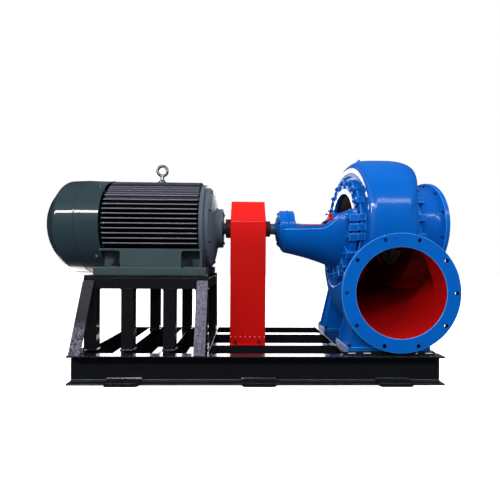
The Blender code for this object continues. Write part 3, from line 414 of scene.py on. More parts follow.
def add_box(bm, low, high, bevel=0.0, turn=None, segments=2):
    part = bmesh.new()
    size = [b - a for a, b in zip(low, high)]
    middle = [(a + b) / 2 for a, b in zip(low, high)]
    matrix = Matrix.Translation(middle) @ Matrix.Diagonal((*size, 1.0))
    bmesh.ops.create_cube(part, size=1.0, matrix=(turn @ matrix) if turn else matrix)
    merge(bm, part, bevel, segments)


def add_cylinder(bm, start, end, radius, sides=24, end_radius=None, bevel=0.0):
    part = bmesh.new()
    start = Vector(start)
    along = Vector(end) - start
    turn = along.to_track_quat("Z", "Y").to_matrix().to_4x4()
    tip = radius if end_radius is None else end_radius
    bmesh.ops.create_cone(part, cap_ends=True, segments=sides, radius1=radius, radius2=tip,
                          depth=along.length, matrix=Matrix.Translation(start + along / 2) @ turn)
    merge(bm, part, bevel)


def add_prism(bm, outline, matrix, length, bevel=0.0):
    """Extrudes a closed outline along its normal."""
    part = bmesh.new()
    near = [part.verts.new(matrix @ Vector((x, y, 0.0))) for x, y in outline]
    far = [part.verts.new(matrix @ Vector((x, y, length))) for x, y in outline]
    part.faces.new(near)
    part.faces.new(far)
    for i in range(len(outline)):
        j = (i + 1) % len(outline)
        part.faces.new((near[i], near[j], far[j], far[i]))
    merge(bm, part, bevel)


def add_loft(bm, rings, closed=False, bevel=0.0, finish=0):
    """Joins rings of points into a tube, with its ends capped or joined to each other."""
    part = bmesh.new()
    rows = [[part.verts.new(point) for point in ring] for ring in rings]
    count = len(rings[0])
    pairs = list(zip(rows, rows[1:]))
    if closed:
        pairs.append((rows[-1], rows[0]))
    else:
        part.faces.new(rows[0])
        part.faces.new(rows[-1])
    for first, second in pairs:
        for i in range(count):
            j = (i + 1) % count
            part.faces.new((first[i], first[j], second[j], second[i]))
    merge(bm, part, bevel, finish=finish)


def circle(radius, steps):
    """Points round a circle, as pairs of numbers."""
    return [(radius * cos(2 * pi * i / steps), radius * sin(2 * pi * i / steps)) for i in range(steps)]


def add_turned(bm, profile, matrix=SHAFT_FRAME, steps=96, hollow=False, finish=0, corners=4):
    """Turns (along, radius) points about an axis: a loop if hollow, else from the axis back to it.

    A third number rounds the profile's corner there, in as many steps as corners says.
    """
    part = bmesh.new()
    rings = []
    for along, radius in rounded(profile, hollow, corners):
        spots = circle(radius, steps) if radius > 0 else [(0.0, 0.0)]
        rings.append([part.verts.new(matrix @ Vector((x, y, along))) for x, y in spots])
    pairs = list(zip(rings, rings[1:]))
    if hollow:
        pairs.append((rings[-1], rings[0]))
    for first, second in pairs:
        for i in range(steps):
            j = (i + 1) % steps
            points = dict.fromkeys((first[i % len(first)], first[j % len(first)],
                                    second[j % len(second)], second[i % len(second)]))
            if len(points) > 2:
                part.faces.new(list(points))
    merge(bm, part, finish=finish)


def add_tube(bm, points, radius, sides=8, swell=0.0, finish=0):
    """A round bar through points. swell makes every second ring thicker, as in a weld's ripples."""
    points = [Vector(point) for point in points]
    rings = []
    for i, point in enumerate(points):
        before = points[max(i - 1, 0)]
        after = points[min(i + 1, len(points) - 1)]
        turn = (after - before).to_track_quat("Z", "Y")
        size = radius * (1 + swell * (i % 2))
        rings.append([point + turn @ Vector((x, y, 0.0)) for x, y in circle(size, sides)])
    add_loft(bm, rings, finish=finish)


def add_weld(bm, start, end, size):
    """A rippled weld bead along a straight corner."""
    start = Vector(start)
    end = Vector(end)
    count = max(4, round((end - start).length / WELD_PITCH))
    points = [start.lerp(end, i / count) for i in range(count + 1)]
    add_tube(bm, points, size, 6, swell=0.16)


def add_ring(bm, centre, normal, radius, wire, steps=48, sides=10):
    """A round ring, such as a rolled edge or an eye."""
    centre = Vector(centre)
    turn = Vector(normal).to_track_quat("Z", "Y")
    up = turn @ UP
    rings = []
    for x, y in circle(1.0, steps):
        out = turn @ Vector((x, y, 0.0))
        rings.append([centre + out * (radius + wide) + up * high for wide, high in circle(wire, sides)])
    add_loft(bm, rings, closed=True)


def add_bolt(bm, place, along, thread, stud=0.0):
    """A hexagon nut or head with a washer and chamfered corners, and the stud's end beyond it."""
    along = Vector(along).normalized()
    place = Vector(place)
    washer = thread * 0.18
    top = washer + thread * 0.7
    chamfer = top - thread * 0.12
    corner = thread * 0.92
    add_cylinder(bm, place - along * 0.001, place + along * washer, thread * 1.08, 20)
    add_cylinder(bm, place, place + along * chamfer, corner, 6)
    add_cylinder(bm, place + along * (chamfer - thread * 0.001), place + along * top, corner, 6,
                 end_radius=corner * 0.84)
    if stud:
        end = place + along * (top + stud)
        add_cylinder(bm, place, end, thread / 2, 12)
        add_cylinder(bm, end - along * 0.0001, end + along * STUD_CHAMFER, thread / 2, 12,
                     end_radius=thread / 2 - STUD_CHAMFER)


def add_bolts(bm, radius, angles, x, facing, thread, stud=0.0):
    """Bolts on a circle about the shaft, their heads facing up or down it."""
    for angle in angles:
        add_bolt(bm, around(radius, angle, x), RIGHT * facing, thread, stud)


def add_cap_screw(bm, place, along, radius, height):
    """A small round-headed screw."""
    along = Vector(along).normalized()
    profile = [(-0.001, 0.0), (-0.001, radius), (height * 0.45, radius), (height * 0.8, radius * 0.75),
               (height, radius * 0.35), (height, 0.0)]
    turn = along.to_track_quat("Z", "Y").to_matrix().to_4x4()
    add_turned(bm, profile, Matrix.Translation(place) @ turn, 16)


def as_object(name, bm):
    mesh = bpy.data.meshes.new(name)
    bm.to_mesh(mesh)
    bm.free()
    item = bpy.data.objects.new(name, mesh)
    bpy.context.scene.collection.objects.link(item)
    return item


def evaluated(item):
    """The object's mesh with its modifiers applied, as a new bmesh. The object is removed."""
    mesh = bpy.data.meshes.new_from_object(item.evaluated_get(bpy.context.evaluated_depsgraph_get()))
    bm = bmesh.new()
    bm.from_mesh(mesh)
    bpy.data.objects.remove(item, do_unlink=True)
    bpy.data.meshes.remove(mesh)
    return bm


def carve(bm, tools, finish=0, overlapping=False):
    """Cuts closed solids out of a mesh, one by one. The cut faces take the finish with that number.

    overlapping says that the mesh itself is several solids that run into each other.
    """
    for tool in tools:
        for face in tool.faces:
            face.material_index = finish
        target = as_object("target", bm)
        cutter = as_object("cutter", tool)
        for item in (target, cutter):
            for name in ("outside", "inside"):
                look = bpy.data.materials.get(name) or bpy.data.materials.new(name)
                item.data.materials.append(look)
        change = target.modifiers.new("cut", "BOOLEAN")
        change.object = cutter
        change.use_self = overlapping
        bm = evaluated(target)
        bpy.data.objects.remove(cutter, do_unlink=True)
    return bm


def melt(bm, voxel, smoothing):
    """Runs overlapping solids together into one skin with soft corners, as a casting has."""
    item = as_object("melted", bm)
    remesh = item.modifiers.new("remesh", "REMESH")
    remesh.mode = "VOXEL"
    remesh.voxel_size = voxel
    soften = item.modifiers.new("soften", "SMOOTH")
    soften.factor = 0.5
    soften.iterations = smoothing
    return evaluated(item)


def paint_edge_highlights(bm):
    """Gives the rounded edges of a mesh its second finish, a lighter paint that is a painted highlight."""
    for face in bm.faces:
        width = face.calc_area() / max(edge.calc_length() for edge in face.edges)
        if width < EDGE_WIDTH and not face.material_index:
            face.material_index = 1


def piece(name, bm, slot, body=SET, node=None, looks=(), flat_ends=True):
    """Turns a mesh into a finished piece that moves with a body of the frame."""
    item = as_object(name, bm)
    for look in looks or (LOOKS[slot],):
        item.data.materials.append(look)
    item.data.shade_smooth()
    item.data.set_sharp_from_angle(angle=CREASE)
    if flat_ends:
        weighted = item.modifiers.new("normals", "WEIGHTED_NORMAL")
        weighted.keep_sharp = True
    item.location.y = AXIS.y
    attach(item, body)
    if node:
        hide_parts(node)


def turned_piece(name, profile, slot, body=SET, node=None, looks=(), matrix=SHAFT_FRAME, steps=96):
    """A finished piece that is one ring, turned from a loop of points."""
    bm = bmesh.new()
    add_turned(bm, profile, matrix, steps, hollow=True)
    piece(name, bm, slot, body, node, looks)


def node_box(name):
    """A CAD node's corners, with y measured from the shaft's plane."""
    low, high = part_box(name)
    shift = Vector((0.0, AXIS.y, 0.0))
    return Vector(low) - shift, Vector(high) - shift


def rectangle(x0, x1, y0, y1, radius):
    """A rectangle with rounded corners, as a flat outline."""
    return rounded([(x0, y0, radius), (x1, y0, radius), (x1, y1, radius), (x0, y1, radius)])


def flat_ring(x0, x1, y0, y1, z):
    """The four corners of a level rectangle."""
    return [Vector((x, y, z)) for x, y in ((x0, y0), (x1, y0), (x1, y1), (x0, y1))]


def add_side_box(bm, side, xs, reaches, zs, bevel):
    """A box on one side of the shaft. Its reaches are distances from the shaft's plane."""
    front, rear = sorted(side * reach for reach in reaches)
    add_box(bm, (xs[0], front, zs[0]), (xs[1], rear, zs[1]), bevel)


# Base


SIDES = ((-1, "front"), (1, "rear"))
FRONT_LOW, FRONT_HIGH = node_box("skid_front_beam")
SKID_LEFT = FRONT_LOW.x
SKID_RIGHT = FRONT_HIGH.x
SKID_TOP = FRONT_HIGH.z
FLANGE = 0.063
WEB_BACK = -FRONT_HIGH.y        # back of the long beams' webs, from the shaft's plane
BEAM_EDGE = WEB_BACK + FLANGE
CHANNEL_WEB = 0.0085
CHANNEL_LIP = 0.010
STEEL_EDGE = 0.0012             # broken edge of cut plate
SEAM = 0.0003                   # gap between parts that lie against each other
ANCHOR_CENTRES = (-0.692, 0.084, 0.866)
ANCHOR_TIP = -FRONT_LOW.y
ANCHOR_HALF = 0.100
ANCHOR_THICKNESS = 0.022
ANCHOR_HOLE = 0.012
CROSS_RIGHT_EDGES = tuple(node_box(f"skid_cross_beam_{number}")[1].x for number in (1, 2, 3))
INNER_BEAMS = tuple(node_box(f"skid_inner_beam_{row}")[0].y for _, row in SIDES)


def channel_outline(height, flange):
    """A rolled channel: filleted inside, with rounded toes."""
    web, lip = CHANNEL_WEB, CHANNEL_LIP
    root = min(0.009, flange * 0.12)
    toe = lip * 0.45
    return rounded([(0, 0, 0.002), (flange, 0, 0.0015), (flange, lip, toe), (web, lip, root),
                    (web, height - lip, root), (flange, height - lip, toe),
                    (flange, height, 0.0015), (0, height, 0.002)])


def add_channel_x(bm, back_y, facing, left, right, bottom=0.0, height=SKID_TOP, flange=FLANGE):
    start = left if facing > 0 else right
    matrix = frame_matrix((start, back_y, bottom), BACK * facing, UP)
    add_prism(bm, channel_outline(height, flange), matrix, right - left)


def add_channel_y(bm, back_x, facing, reach, bottom=0.0, height=SKID_TOP, flange=FLANGE):
    """A cross channel that reaches as far to both sides of the shaft."""
    matrix = frame_matrix((back_x, facing * reach, bottom), RIGHT * facing, UP)
    add_prism(bm, channel_outline(height, flange), matrix, 2 * reach)


def anchor_lugs(side):
    """The three lugs of a long beam, each with its hole."""
    lugs = bmesh.new()
    holes = bmesh.new()
    back = side * (WEB_BACK + CHANNEL_WEB - 0.001)
    tip = side * ANCHOR_TIP
    hole_y = side * (BEAM_EDGE - 0.008)
    for centre in ANCHOR_CENTRES:
        left, right = centre - ANCHOR_HALF, centre + ANCHOR_HALF
        outline = rounded([(left, back), (left, tip, 0.024), (right, tip, 0.024), (right, back)], steps=6)
        add_prism(lugs, outline, Matrix.Identity(4), ANCHOR_THICKNESS, 0.0025)
        add_cylinder(holes, (centre, hole_y, -0.01), (centre, hole_y, ANCHOR_THICKNESS + 0.01),
                     ANCHOR_HOLE, 32)
    return carve(lugs, (holes,))


def add_anchor_welds(bm, side):
    top = ANCHOR_THICKNESS + 0.001
    side_z = CHANNEL_LIP + 0.002
    web_y = side * (WEB_BACK + CHANNEL_WEB + 0.002)
    for centre in ANCHOR_CENTRES:
        add_weld(bm, (centre - 0.098, web_y, top), (centre + 0.098, web_y, top), 0.0055)
        for end in (-1, 1):
            x = centre + end * (ANCHOR_HALF + 0.001)
            add_weld(bm, (x, side * (WEB_BACK + 0.020), side_z), (x, side * (BEAM_EDGE - 0.004), side_z),
                     0.0045)


def make_long_beams():
    for side, row in SIDES:
        bm = anchor_lugs(side)
        add_channel_x(bm, side * WEB_BACK, side, SKID_LEFT, SKID_RIGHT)
        add_anchor_welds(bm, side)
        piece(f"rolled_{row}_beam", bm, "black_steel", node=f"skid_{row}_beam")


def make_end_beams():
    inside = WEB_BACK - SEAM
    for name, back, facing in (("motor_end", SKID_LEFT, 1), ("pump_end", SKID_RIGHT, -1)):
        bm = bmesh.new()
        add_channel_y(bm, back, facing, inside)
        for y in (-inside, inside):
            add_weld(bm, (back, y, SKID_TOP), (back + facing * 0.060, y, SKID_TOP), 0.003)
            add_weld(bm, (back, y, 0.006), (back, y, SKID_TOP - 0.004), 0.004)
        piece(f"rolled_{name}_beam", bm, "black_steel", node=f"skid_{name}_beam")


def make_inside_beams():
    """Three cross channels under the motor stand, and two long ones from there to the pump's end."""
    inside = WEB_BACK - SEAM
    weld_low, weld_high = 0.012, SKID_TOP - 0.012
    for number, edge in enumerate(CROSS_RIGHT_EDGES, 1):
        back = edge - FLANGE
        bm = bmesh.new()
        add_channel_y(bm, back, 1, inside)
        for y in (0.001 - inside, inside - 0.001):
            add_weld(bm, (back, y, weld_low), (back, y, weld_high), 0.005)
        piece(f"rolled_cross_beam_{number}", bm, "black_steel", node=f"skid_cross_beam_{number}")
    left = CROSS_RIGHT_EDGES[-1] + SEAM
    right = SKID_RIGHT - FLANGE - SEAM
    for back, (_, row) in zip(INNER_BEAMS, SIDES):
        bm = bmesh.new()
        add_channel_x(bm, back, 1, left, right)
        add_weld(bm, (left + 0.002, back, weld_low), (left + 0.002, back, weld_high), 0.005)
        piece(f"rolled_inner_beam_{row}", bm, "black_steel", node=f"skid_inner_beam_{row}")


def make_sole_plate():
    """A plate under the pump, with stitch welds along its sides and one over each inner beam."""
    stitches = 6
    pitch = 0.092
    low, high = node_box("pump_sole_plate")
    z = low.z + 0.002
    bm = bmesh.new()
    outline = rectangle(low.x, high.x, low.y, high.y, 0.008)
    add_prism(bm, outline, Matrix.Translation((0, 0, low.z)), high.z - low.z, STEEL_EDGE)
    for y in (low.y + 0.002, high.y - 0.002):
        for number in range(stitches):
            x = low.x + 0.030 + number * pitch
            add_weld(bm, (x, y, z), (x + 0.045, y, z), 0.0045)
    for x in (low.x + 0.001, high.x - 0.001):
        for back in INNER_BEAMS:
            add_weld(bm, (x, back + 0.002, z), (x, back + 0.060, z), 0.0045)
    piece("ground_sole_plate", bm, "black_steel", node="pump_sole_plate")


# Motor stand


RAIL_LOW, RAIL_HIGH = node_box("stand_frame_front")
STAND_LEFT = RAIL_LOW.x
STAND_RIGHT = RAIL_HIGH.x
STAND_EDGE = -RAIL_LOW.y
PAD_TOP = RAIL_HIGH.z
RAIL_TOP = 0.602
RAIL_HEIGHT = 0.066
RAIL_BOTTOM = RAIL_TOP - RAIL_HEIGHT
RAIL_DEPTH = 0.060
PAD_WIDTH = 0.130
POST_CENTRES = (-0.927, -0.706, -0.455, -0.260)
POST_WIDTH = 0.075
POST_DEPTH = 0.060
LEG_WIDTH = 0.066
LEG_THICKNESS = 0.012
LEG_TOP = RAIL_TOP - 0.020
LEG_XS = (("left", -0.964, -0.9995), ("right", -0.288, -0.292))     # left edge on top, at the foot
LEG_MARKS = (0.07, 0.94)        # places of the round marks, as shares of the leg


def add_post(bm, x, centre):
    """A square post with welds round its foot and its top."""
    x0, x1 = x - POST_WIDTH / 2, x + POST_WIDTH / 2
    y0, y1 = centre - POST_DEPTH / 2 + 0.001, centre + POST_DEPTH / 2 - 0.001
    add_prism(bm, rectangle(x0, x1, y0, y1, 0.006), Matrix.Translation((0, 0, SKID_TOP + SEAM)),
              RAIL_BOTTOM - SKID_TOP + 0.004)
    for z in (SKID_TOP + 0.003, RAIL_BOTTOM - 0.002):
        for y in (y0, y1):
            add_weld(bm, (x0 + 0.004, y, z), (x1 - 0.004, y, z), 0.005)
        for edge in (x0, x1):
            add_weld(bm, (edge, y0 + 0.004, z), (edge, y1 - 0.004, z), 0.005)


def make_stand_frames():
    for side, row in SIDES:
        bm = bmesh.new()
        add_channel_x(bm, side * STAND_EDGE, -side, STAND_LEFT, STAND_RIGHT, RAIL_BOTTOM, RAIL_HEIGHT,
                      RAIL_DEPTH)
        add_side_box(bm, side, (STAND_LEFT + 0.001, STAND_RIGHT - 0.001),
                     (STAND_EDGE - PAD_WIDTH, STAND_EDGE - 0.001), (RAIL_TOP - 0.002, PAD_TOP), STEEL_EDGE)
        for x in POST_CENTRES:
            add_post(bm, x, side * (STAND_EDGE - RAIL_DEPTH / 2))
        piece(f"welded_stand_{row}", bm, "black_steel", node=f"stand_frame_{row}")


def make_stand_rails():
    inside = STAND_EDGE - RAIL_DEPTH - SEAM
    for where, back, facing in (("left", STAND_LEFT, 1), ("right", STAND_RIGHT, -1)):
        bm = bmesh.new()
        add_channel_y(bm, back, facing, inside, RAIL_BOTTOM, RAIL_HEIGHT - 0.0023, RAIL_DEPTH)
        x = back + facing * 0.002
        for y in (-inside, inside):
            add_weld(bm, (x, y, RAIL_BOTTOM + 0.006), (x, y, RAIL_TOP - 0.012), 0.004)
        piece(f"welded_stand_rail_{where}", bm, "black_steel", node=f"stand_rail_{where}")


def add_leg(bm, side, top_x, foot_x):
    """A leaning flat bar with a ground round mark near both ends, welded on top and at the foot."""
    top_y = side * (STAND_EDGE + SEAM)
    foot_y = side * (BEAM_EDGE - LEG_THICKNESS - 0.012)
    face = side * LEG_THICKNESS
    add_loft(bm, [flat_ring(x, x + LEG_WIDTH, y, y + face, z)
                  for x, y, z in ((foot_x, foot_y, SKID_TOP + SEAM), (top_x, top_y, LEG_TOP))],
             bevel=STEEL_EDGE)
    foot = Vector((foot_x + LEG_WIDTH / 2, foot_y + face, SKID_TOP))
    top = Vector((top_x + LEG_WIDTH / 2, top_y + face, LEG_TOP))
    out = (top - foot).cross(RIGHT).normalized() * -side
    for share in LEG_MARKS:
        place = foot.lerp(top, share)
        add_ring(bm, place - out * 0.0003, out, 0.017, 0.0016, 32, 8)
        add_cylinder(bm, place - out * 0.002, place + out * 0.0012, 0.0095, 24, bevel=0.0006)
    for x, y, z in ((foot_x, foot.y, SKID_TOP + 0.003), (top_x, top_y + side * 0.002, LEG_TOP + 0.001)):
        add_weld(bm, (x + 0.002, y, z), (x + LEG_WIDTH - 0.002, y, z), 0.0045)


def make_legs():
    for side, row in SIDES:
        for where, top_x, foot_x in LEG_XS:
            bm = bmesh.new()
            add_leg(bm, side, top_x, foot_x)
            # Their pale mottled paint is a painted sheen.
            piece(f"flat_leg_{row}_{where}", bm, "black_steel", node=f"stand_leg_{row}_{where}",
                  looks=(LEFT_LEG_SHEEN_PAINT if where == "left" else LEG_SHEEN_PAINT,))


# Motor


FRAME_LEFT = -0.893
FRAME_RIGHT = -0.262
RING_LEFT = FRAME_RIGHT - 0.0255    # the frame's flange at its drive end
FRAME_BORE = 0.046
FRAME_RADIUS = 0.262
FRAME_RING = 0.296
FIN_LEFT = FRAME_LEFT + 0.004
FIN_RIGHT = FRAME_RIGHT - 0.020
FIN_REACH = 0.312
FIN_THICKNESS = 0.0075
FIN_PITCH = 0.030
SIDE_FIN_LOWEST = -0.124
SIDE_FINS = 11
SHOULDER_FINS = (0.244, 0.228, 0.211, 0.192)
TOP_FINS = 11
UNDER_FINS = 0.13               # fins hang under the motor as far as this from its middle
EYE_X = -0.582
FOOT_Z = 0.617
FOOT_LEFT = -0.917
FOOT_RIGHT = -0.237
FOOT_EDGE = 0.3175
FOOT_TOP = FOOT_Z + 0.048
BOLT_XS = (-0.8055, -0.3485)
BOLT_Y = 0.254
PANEL_EDGE = 0.300
PANEL_TOP = SHAFT_Z - 0.158
PANEL_RAIL = 0.012
PAINT_EDGE = 0.002
SHIM_XS = (-0.585, -0.497)
END_BORE = 0.0407               # bore of the drive end's parts, round the shaft
END_BOLT_CIRCLE = 0.254


def make_motor_body():
    bm = bmesh.new()
    add_turned(bm, [(FRAME_LEFT, FRAME_BORE), (FRAME_LEFT, FRAME_RADIUS, 0.003),
                    (RING_LEFT, FRAME_RADIUS), (RING_LEFT, FRAME_BORE)], hollow=True)
    inner = FRAME_RADIUS - 0.004
    add_turned(bm, [(RING_LEFT - 0.012, inner), (RING_LEFT, FRAME_RING, 0.004),
                    (FRAME_RIGHT, FRAME_RING, 0.003), (FRAME_RIGHT, FRAME_BORE),
                    (RING_LEFT + 0.002, FRAME_BORE), (RING_LEFT + 0.002, inner)], hollow=True, finish=1)
    # The body under the fins is near black, painted shade between them; its drive end ring has the lighter
    # slate paint, painted light.
    piece("cast_motor_body", bm, "motor_paint", node="motor_frame", looks=(FIN_SHADE_PAINT, LIT_SLATE_PAINT))


def add_fin(bm, offset, matrix, left=FIN_LEFT, shorter=0.0):
    """A cooling fin at an offset from the shaft: its ends slope and its tip is rounded."""
    root = sqrt(FRAME_RADIUS ** 2 - offset * offset) - 0.012
    tip = sqrt(FIN_REACH ** 2 - offset * offset) - shorter
    slope = min(0.014, (tip - root) * 0.5)
    outline = [(left, root), (FIN_RIGHT, root), (FIN_RIGHT - slope, tip), (left + slope, tip)]
    add_prism(bm, outline, matrix @ Matrix.Translation((0, 0, -FIN_THICKNESS / 2)), FIN_THICKNESS, 0.0028)


def paint_fin_highlights(bm):
    """Gives the outer edges of the fins their second finish, a lighter paint that is a painted highlight."""
    for face in bm.faces:
        middle = face.calc_center_median()
        if Vector((middle.y, middle.z - SHAFT_Z)).length > FIN_REACH - 0.0035:
            face.material_index = 1


def make_side_fins():
    bm = bmesh.new()
    for number in range(SIDE_FINS):
        z = SIDE_FIN_LOWEST + FIN_PITCH * number
        for side in (-1, 1):
            add_fin(bm, z, frame_matrix((0, 0, SHAFT_Z + z), RIGHT, BACK * side))
    paint_fin_highlights(bm)
    # The fins' near black sides are painted shade, and their tips have a painted highlight.
    piece("motor_side_fins", bm, "motor_paint", looks=(FIN_SHADE_PAINT, FIN_HIGHLIGHT_PAINT))


def make_shoulder_fins():
    bm = bmesh.new()
    for reach in SHOULDER_FINS:
        for y in (-reach, reach):
            add_fin(bm, y, frame_matrix((0, y, SHAFT_Z), RIGHT, UP), FIN_LEFT + 0.006)
    paint_fin_highlights(bm)
    # Their tips have a painted highlight.
    piece("motor_shoulder_fins", bm, "motor_paint", looks=(NAVY_PAINT, FIN_HIGHLIGHT_PAINT))


def make_top_fins():
    """Fins on top and below, with the eye bolt's round boss between those on top."""
    bm = bmesh.new()
    for number in range(TOP_FINS):
        y = FIN_PITCH * (number - (TOP_FINS - 1) / 2)
        add_fin(bm, y, frame_matrix((0, y, SHAFT_Z), RIGHT, UP))
        if abs(y) < UNDER_FINS:
            add_fin(bm, y, frame_matrix((0, y, SHAFT_Z), RIGHT, -UP), shorter=0.004)
    add_cylinder(bm, (EYE_X, 0, SHAFT_Z + 0.250), (EYE_X, 0, SHAFT_Z + FIN_REACH), 0.034, 40, bevel=0.003)
    paint_fin_highlights(bm)
    # Near black fins as painted shade, with tips in the lighter slate paint as a painted highlight.
    piece("motor_top_fins", bm, "motor_paint", looks=(FIN_SHADE_PAINT, LIT_SLATE_PAINT))


def add_foot_panel(bm, side, left, right):
    """The wall over a foot: a rail on top that bends down into a raised middle between the bolts."""
    start = 0.200
    bend = 0.018
    base = FOOT_TOP - 0.004
    rail = PANEL_TOP - PANEL_RAIL
    middle_left, middle_right = BOLT_XS[0] + 0.0435, BOLT_XS[1] - 0.0435
    outline = rounded([(left, rail, 0.002), (middle_left, rail, bend), (middle_left, base),
                       (middle_right, base), (middle_right, rail, bend), (right, rail, 0.002),
                       (right, PANEL_TOP, 0.004), (left, PANEL_TOP, 0.004)], steps=6)
    rear = max(side * PANEL_EDGE, side * start)
    add_prism(bm, outline, frame_matrix((0, rear, 0), RIGHT, UP), PANEL_EDGE - start, 0.0025)


def make_motor_feet():
    """Cast feet: a thick plate, a set-back wall with its panel, an end wall and the bolts' bosses."""
    base = FOOT_TOP - 0.004
    left, right = FRAME_LEFT + 0.006, FRAME_RIGHT - 0.003
    bm = bmesh.new()
    for side in (-1, 1):
        add_side_box(bm, side, (FOOT_LEFT, FOOT_RIGHT), (0.170, FOOT_EDGE), (FOOT_Z, FOOT_TOP), 0.004)
        add_side_box(bm, side, (left + 0.002, right - 0.001), (0.120, 0.226), (base, PANEL_TOP), PAINT_EDGE)
        add_foot_panel(bm, side, left, right)
        add_side_box(bm, side, (right - 0.012, right), (0.195, PANEL_EDGE - 0.004),
                     (base, PANEL_TOP - 0.002), PAINT_EDGE)
        for x in BOLT_XS:
            y = side * BOLT_Y
            add_cylinder(bm, (x, y, FOOT_TOP - 0.001), (x, y, FOOT_TOP + 0.004), 0.036, 36, bevel=0.0015)
    paint_edge_highlights(bm)
    # Edges take the lighter slate paint: a painted highlight.
    piece("cast_motor_feet", bm, "motor_paint", looks=(FRAME_PAINT, LIT_SLATE_PAINT))


def make_holding_bolts():
    """The motor's holding-down bolts, with a shim under the middle of each foot."""
    bm = bmesh.new()
    for side in (-1, 1):
        for x in BOLT_XS:
            add_bolt(bm, (x, side * BOLT_Y, FOOT_TOP + 0.004), UP, 0.024, stud=0.034)
            add_bolt(bm, (x, side * BOLT_Y, RAIL_TOP - CHANNEL_LIP), -UP, 0.024, stud=0.010)
        add_side_box(bm, side, SHIM_XS, (FOOT_EDGE - 0.080, FOOT_EDGE + 0.004), (PAD_TOP, FOOT_Z), 0.00008)
    piece("motor_holding_bolts", bm, "bright_steel", looks=(DARK_STEEL,))


def add_rib(bm, start, end, thickness, height):
    """A low cast rib on a face that looks to +X, from one point to another."""
    across = (end - start).normalized().cross(RIGHT).normalized() * thickness / 2
    drop = RIGHT * -height
    rings = [[point + across, point - across, point - across * 1.3 + drop, point + across * 1.3 + drop]
             for point in (start, end)]
    add_loft(bm, rings, bevel=0.002)


def make_end_shield(left, right):
    """The domed end shield, with a boss for each of its bolts and low ribs."""
    bm = bmesh.new()
    add_turned(bm, [(left, END_BORE), (left, 0.276, 0.002), (left + 0.028, 0.276, 0.004),
                    (left + 0.034, 0.262, 0.006), (left + 0.048, 0.232, 0.014),
                    (left + 0.060, 0.186, 0.010), (left + 0.064, 0.146, 0.006),
                    (right, 0.139, 0.002), (right, END_BORE)], hollow=True)
    for angle in spread(8, 22.5):
        place = around(END_BOLT_CIRCLE, angle, left + 0.020)
        add_cylinder(bm, place, place + RIGHT * 0.014, 0.021, 28, bevel=0.002)
    for angle in spread(12):
        add_rib(bm, around(0.142, angle, left + 0.050), around(0.238, angle, left + 0.034), 0.007, 0.030)
    # The shield has the lighter copy of the slate paint: painted light.
    piece("cast_drive_end_shield", bm, "motor_paint", node="motor_drive_end_shield", looks=(LIT_SLATE_PAINT,))


def make_bearing_cap(left, right):
    groove = right - 0.004
    # The cap has the lighter copy of the slate paint: painted light.
    turned_piece("turned_bearing_cap",
                 [(left, END_BORE), (left, 0.135, 0.001), (right, 0.135, 0.004), (right, 0.098, 0.002),
                  (groove, 0.094, 0.002), (groove, 0.060, 0.002), (right, 0.056, 0.002), (right, END_BORE)],
                 "motor_paint", node="motor_bearing_cap", looks=(LIT_SLATE_PAINT,))


def make_motor_ends():
    shield_low, shield_high = node_box("motor_drive_end_shield")
    cap_low, cap_high = node_box("motor_bearing_cap")
    make_end_shield(shield_low.x, shield_high.x)
    make_bearing_cap(cap_low.x, cap_high.x)
    bm = bmesh.new()
    add_bolts(bm, END_BOLT_CIRCLE, spread(8, 22.5), shield_low.x + 0.034, 1, 0.014)
    add_bolts(bm, 0.116, spread(6, 30), cap_high.x - 0.0005, 1, 0.010)
    piece("motor_end_bolts", bm, "bright_steel", looks=(MOTOR_BOLT,))


COWL_LEFT = node_box("motor_fan_cowl")[0].x
COWL_RIGHT = -0.890
COWL_RADIUS = 0.3165
COWL_SHOULDER = -1.160
COWL_END_RADIUS = 0.205
COWL_OPENING = 0.186
COWL_SHEET = 0.003
COWL_GROOVE = -1.039
GRILLE_WIRE = 0.0022
GRILLE_RINGS = 10
GRILLE_SPOKES = 12
CABLE_GLAND = ((-0.002, 0.012, 0.026, 6, 0.001), (0.010, 0.034, 0.021, 32, 0.002),
               (0.030, 0.040, 0.024, 6, 0.001), (0.039, 0.044, 0.015, 24, 0.001))


def make_cowl():
    """The pressed cowl with a groove round it and a rolled edge, on four lugs of the frame."""
    sheet = COWL_SHEET
    groove = 0.0045
    outer = [(COWL_LEFT, COWL_OPENING), (COWL_LEFT, COWL_END_RADIUS, 0.012),
             (COWL_LEFT + 0.020, 0.232, 0.014), (COWL_SHOULDER - 0.004, 0.311, 0.045),
             (COWL_GROOVE - groove, COWL_RADIUS, 0.001), (COWL_GROOVE, COWL_RADIUS - 0.003, 0.001),
             (COWL_GROOVE + groove, COWL_RADIUS, 0.001), (COWL_RIGHT, COWL_RADIUS, 0.001)]
    inner = [(COWL_RIGHT, COWL_RADIUS - sheet), (COWL_SHOULDER, 0.3065, 0.045),
             (COWL_LEFT + 0.022, 0.228, 0.010), (COWL_LEFT + sheet, COWL_END_RADIUS - 0.002, 0.009),
             (COWL_LEFT + sheet, COWL_OPENING)]
    bm = bmesh.new()
    add_turned(bm, outer + inner, corners=8, hollow=True, steps=128)
    add_ring(bm, (COWL_RIGHT - 0.002, 0, SHAFT_Z), RIGHT, COWL_RADIUS - 0.0028, 0.0028, 128, 8)
    for angle in spread(4, 45):
        turn = Matrix.Translation((0, 0, SHAFT_Z)) @ Matrix.Rotation(radians(angle), 4, "X")
        add_box(bm, (FRAME_LEFT - 0.020, -0.015, 0.235), (FRAME_LEFT - 0.0003, 0.015, COWL_RADIUS - 0.002),
                0.0015, turn)
    piece("pressed_fan_cowl", bm, "motor_paint", node="motor_fan_cowl")


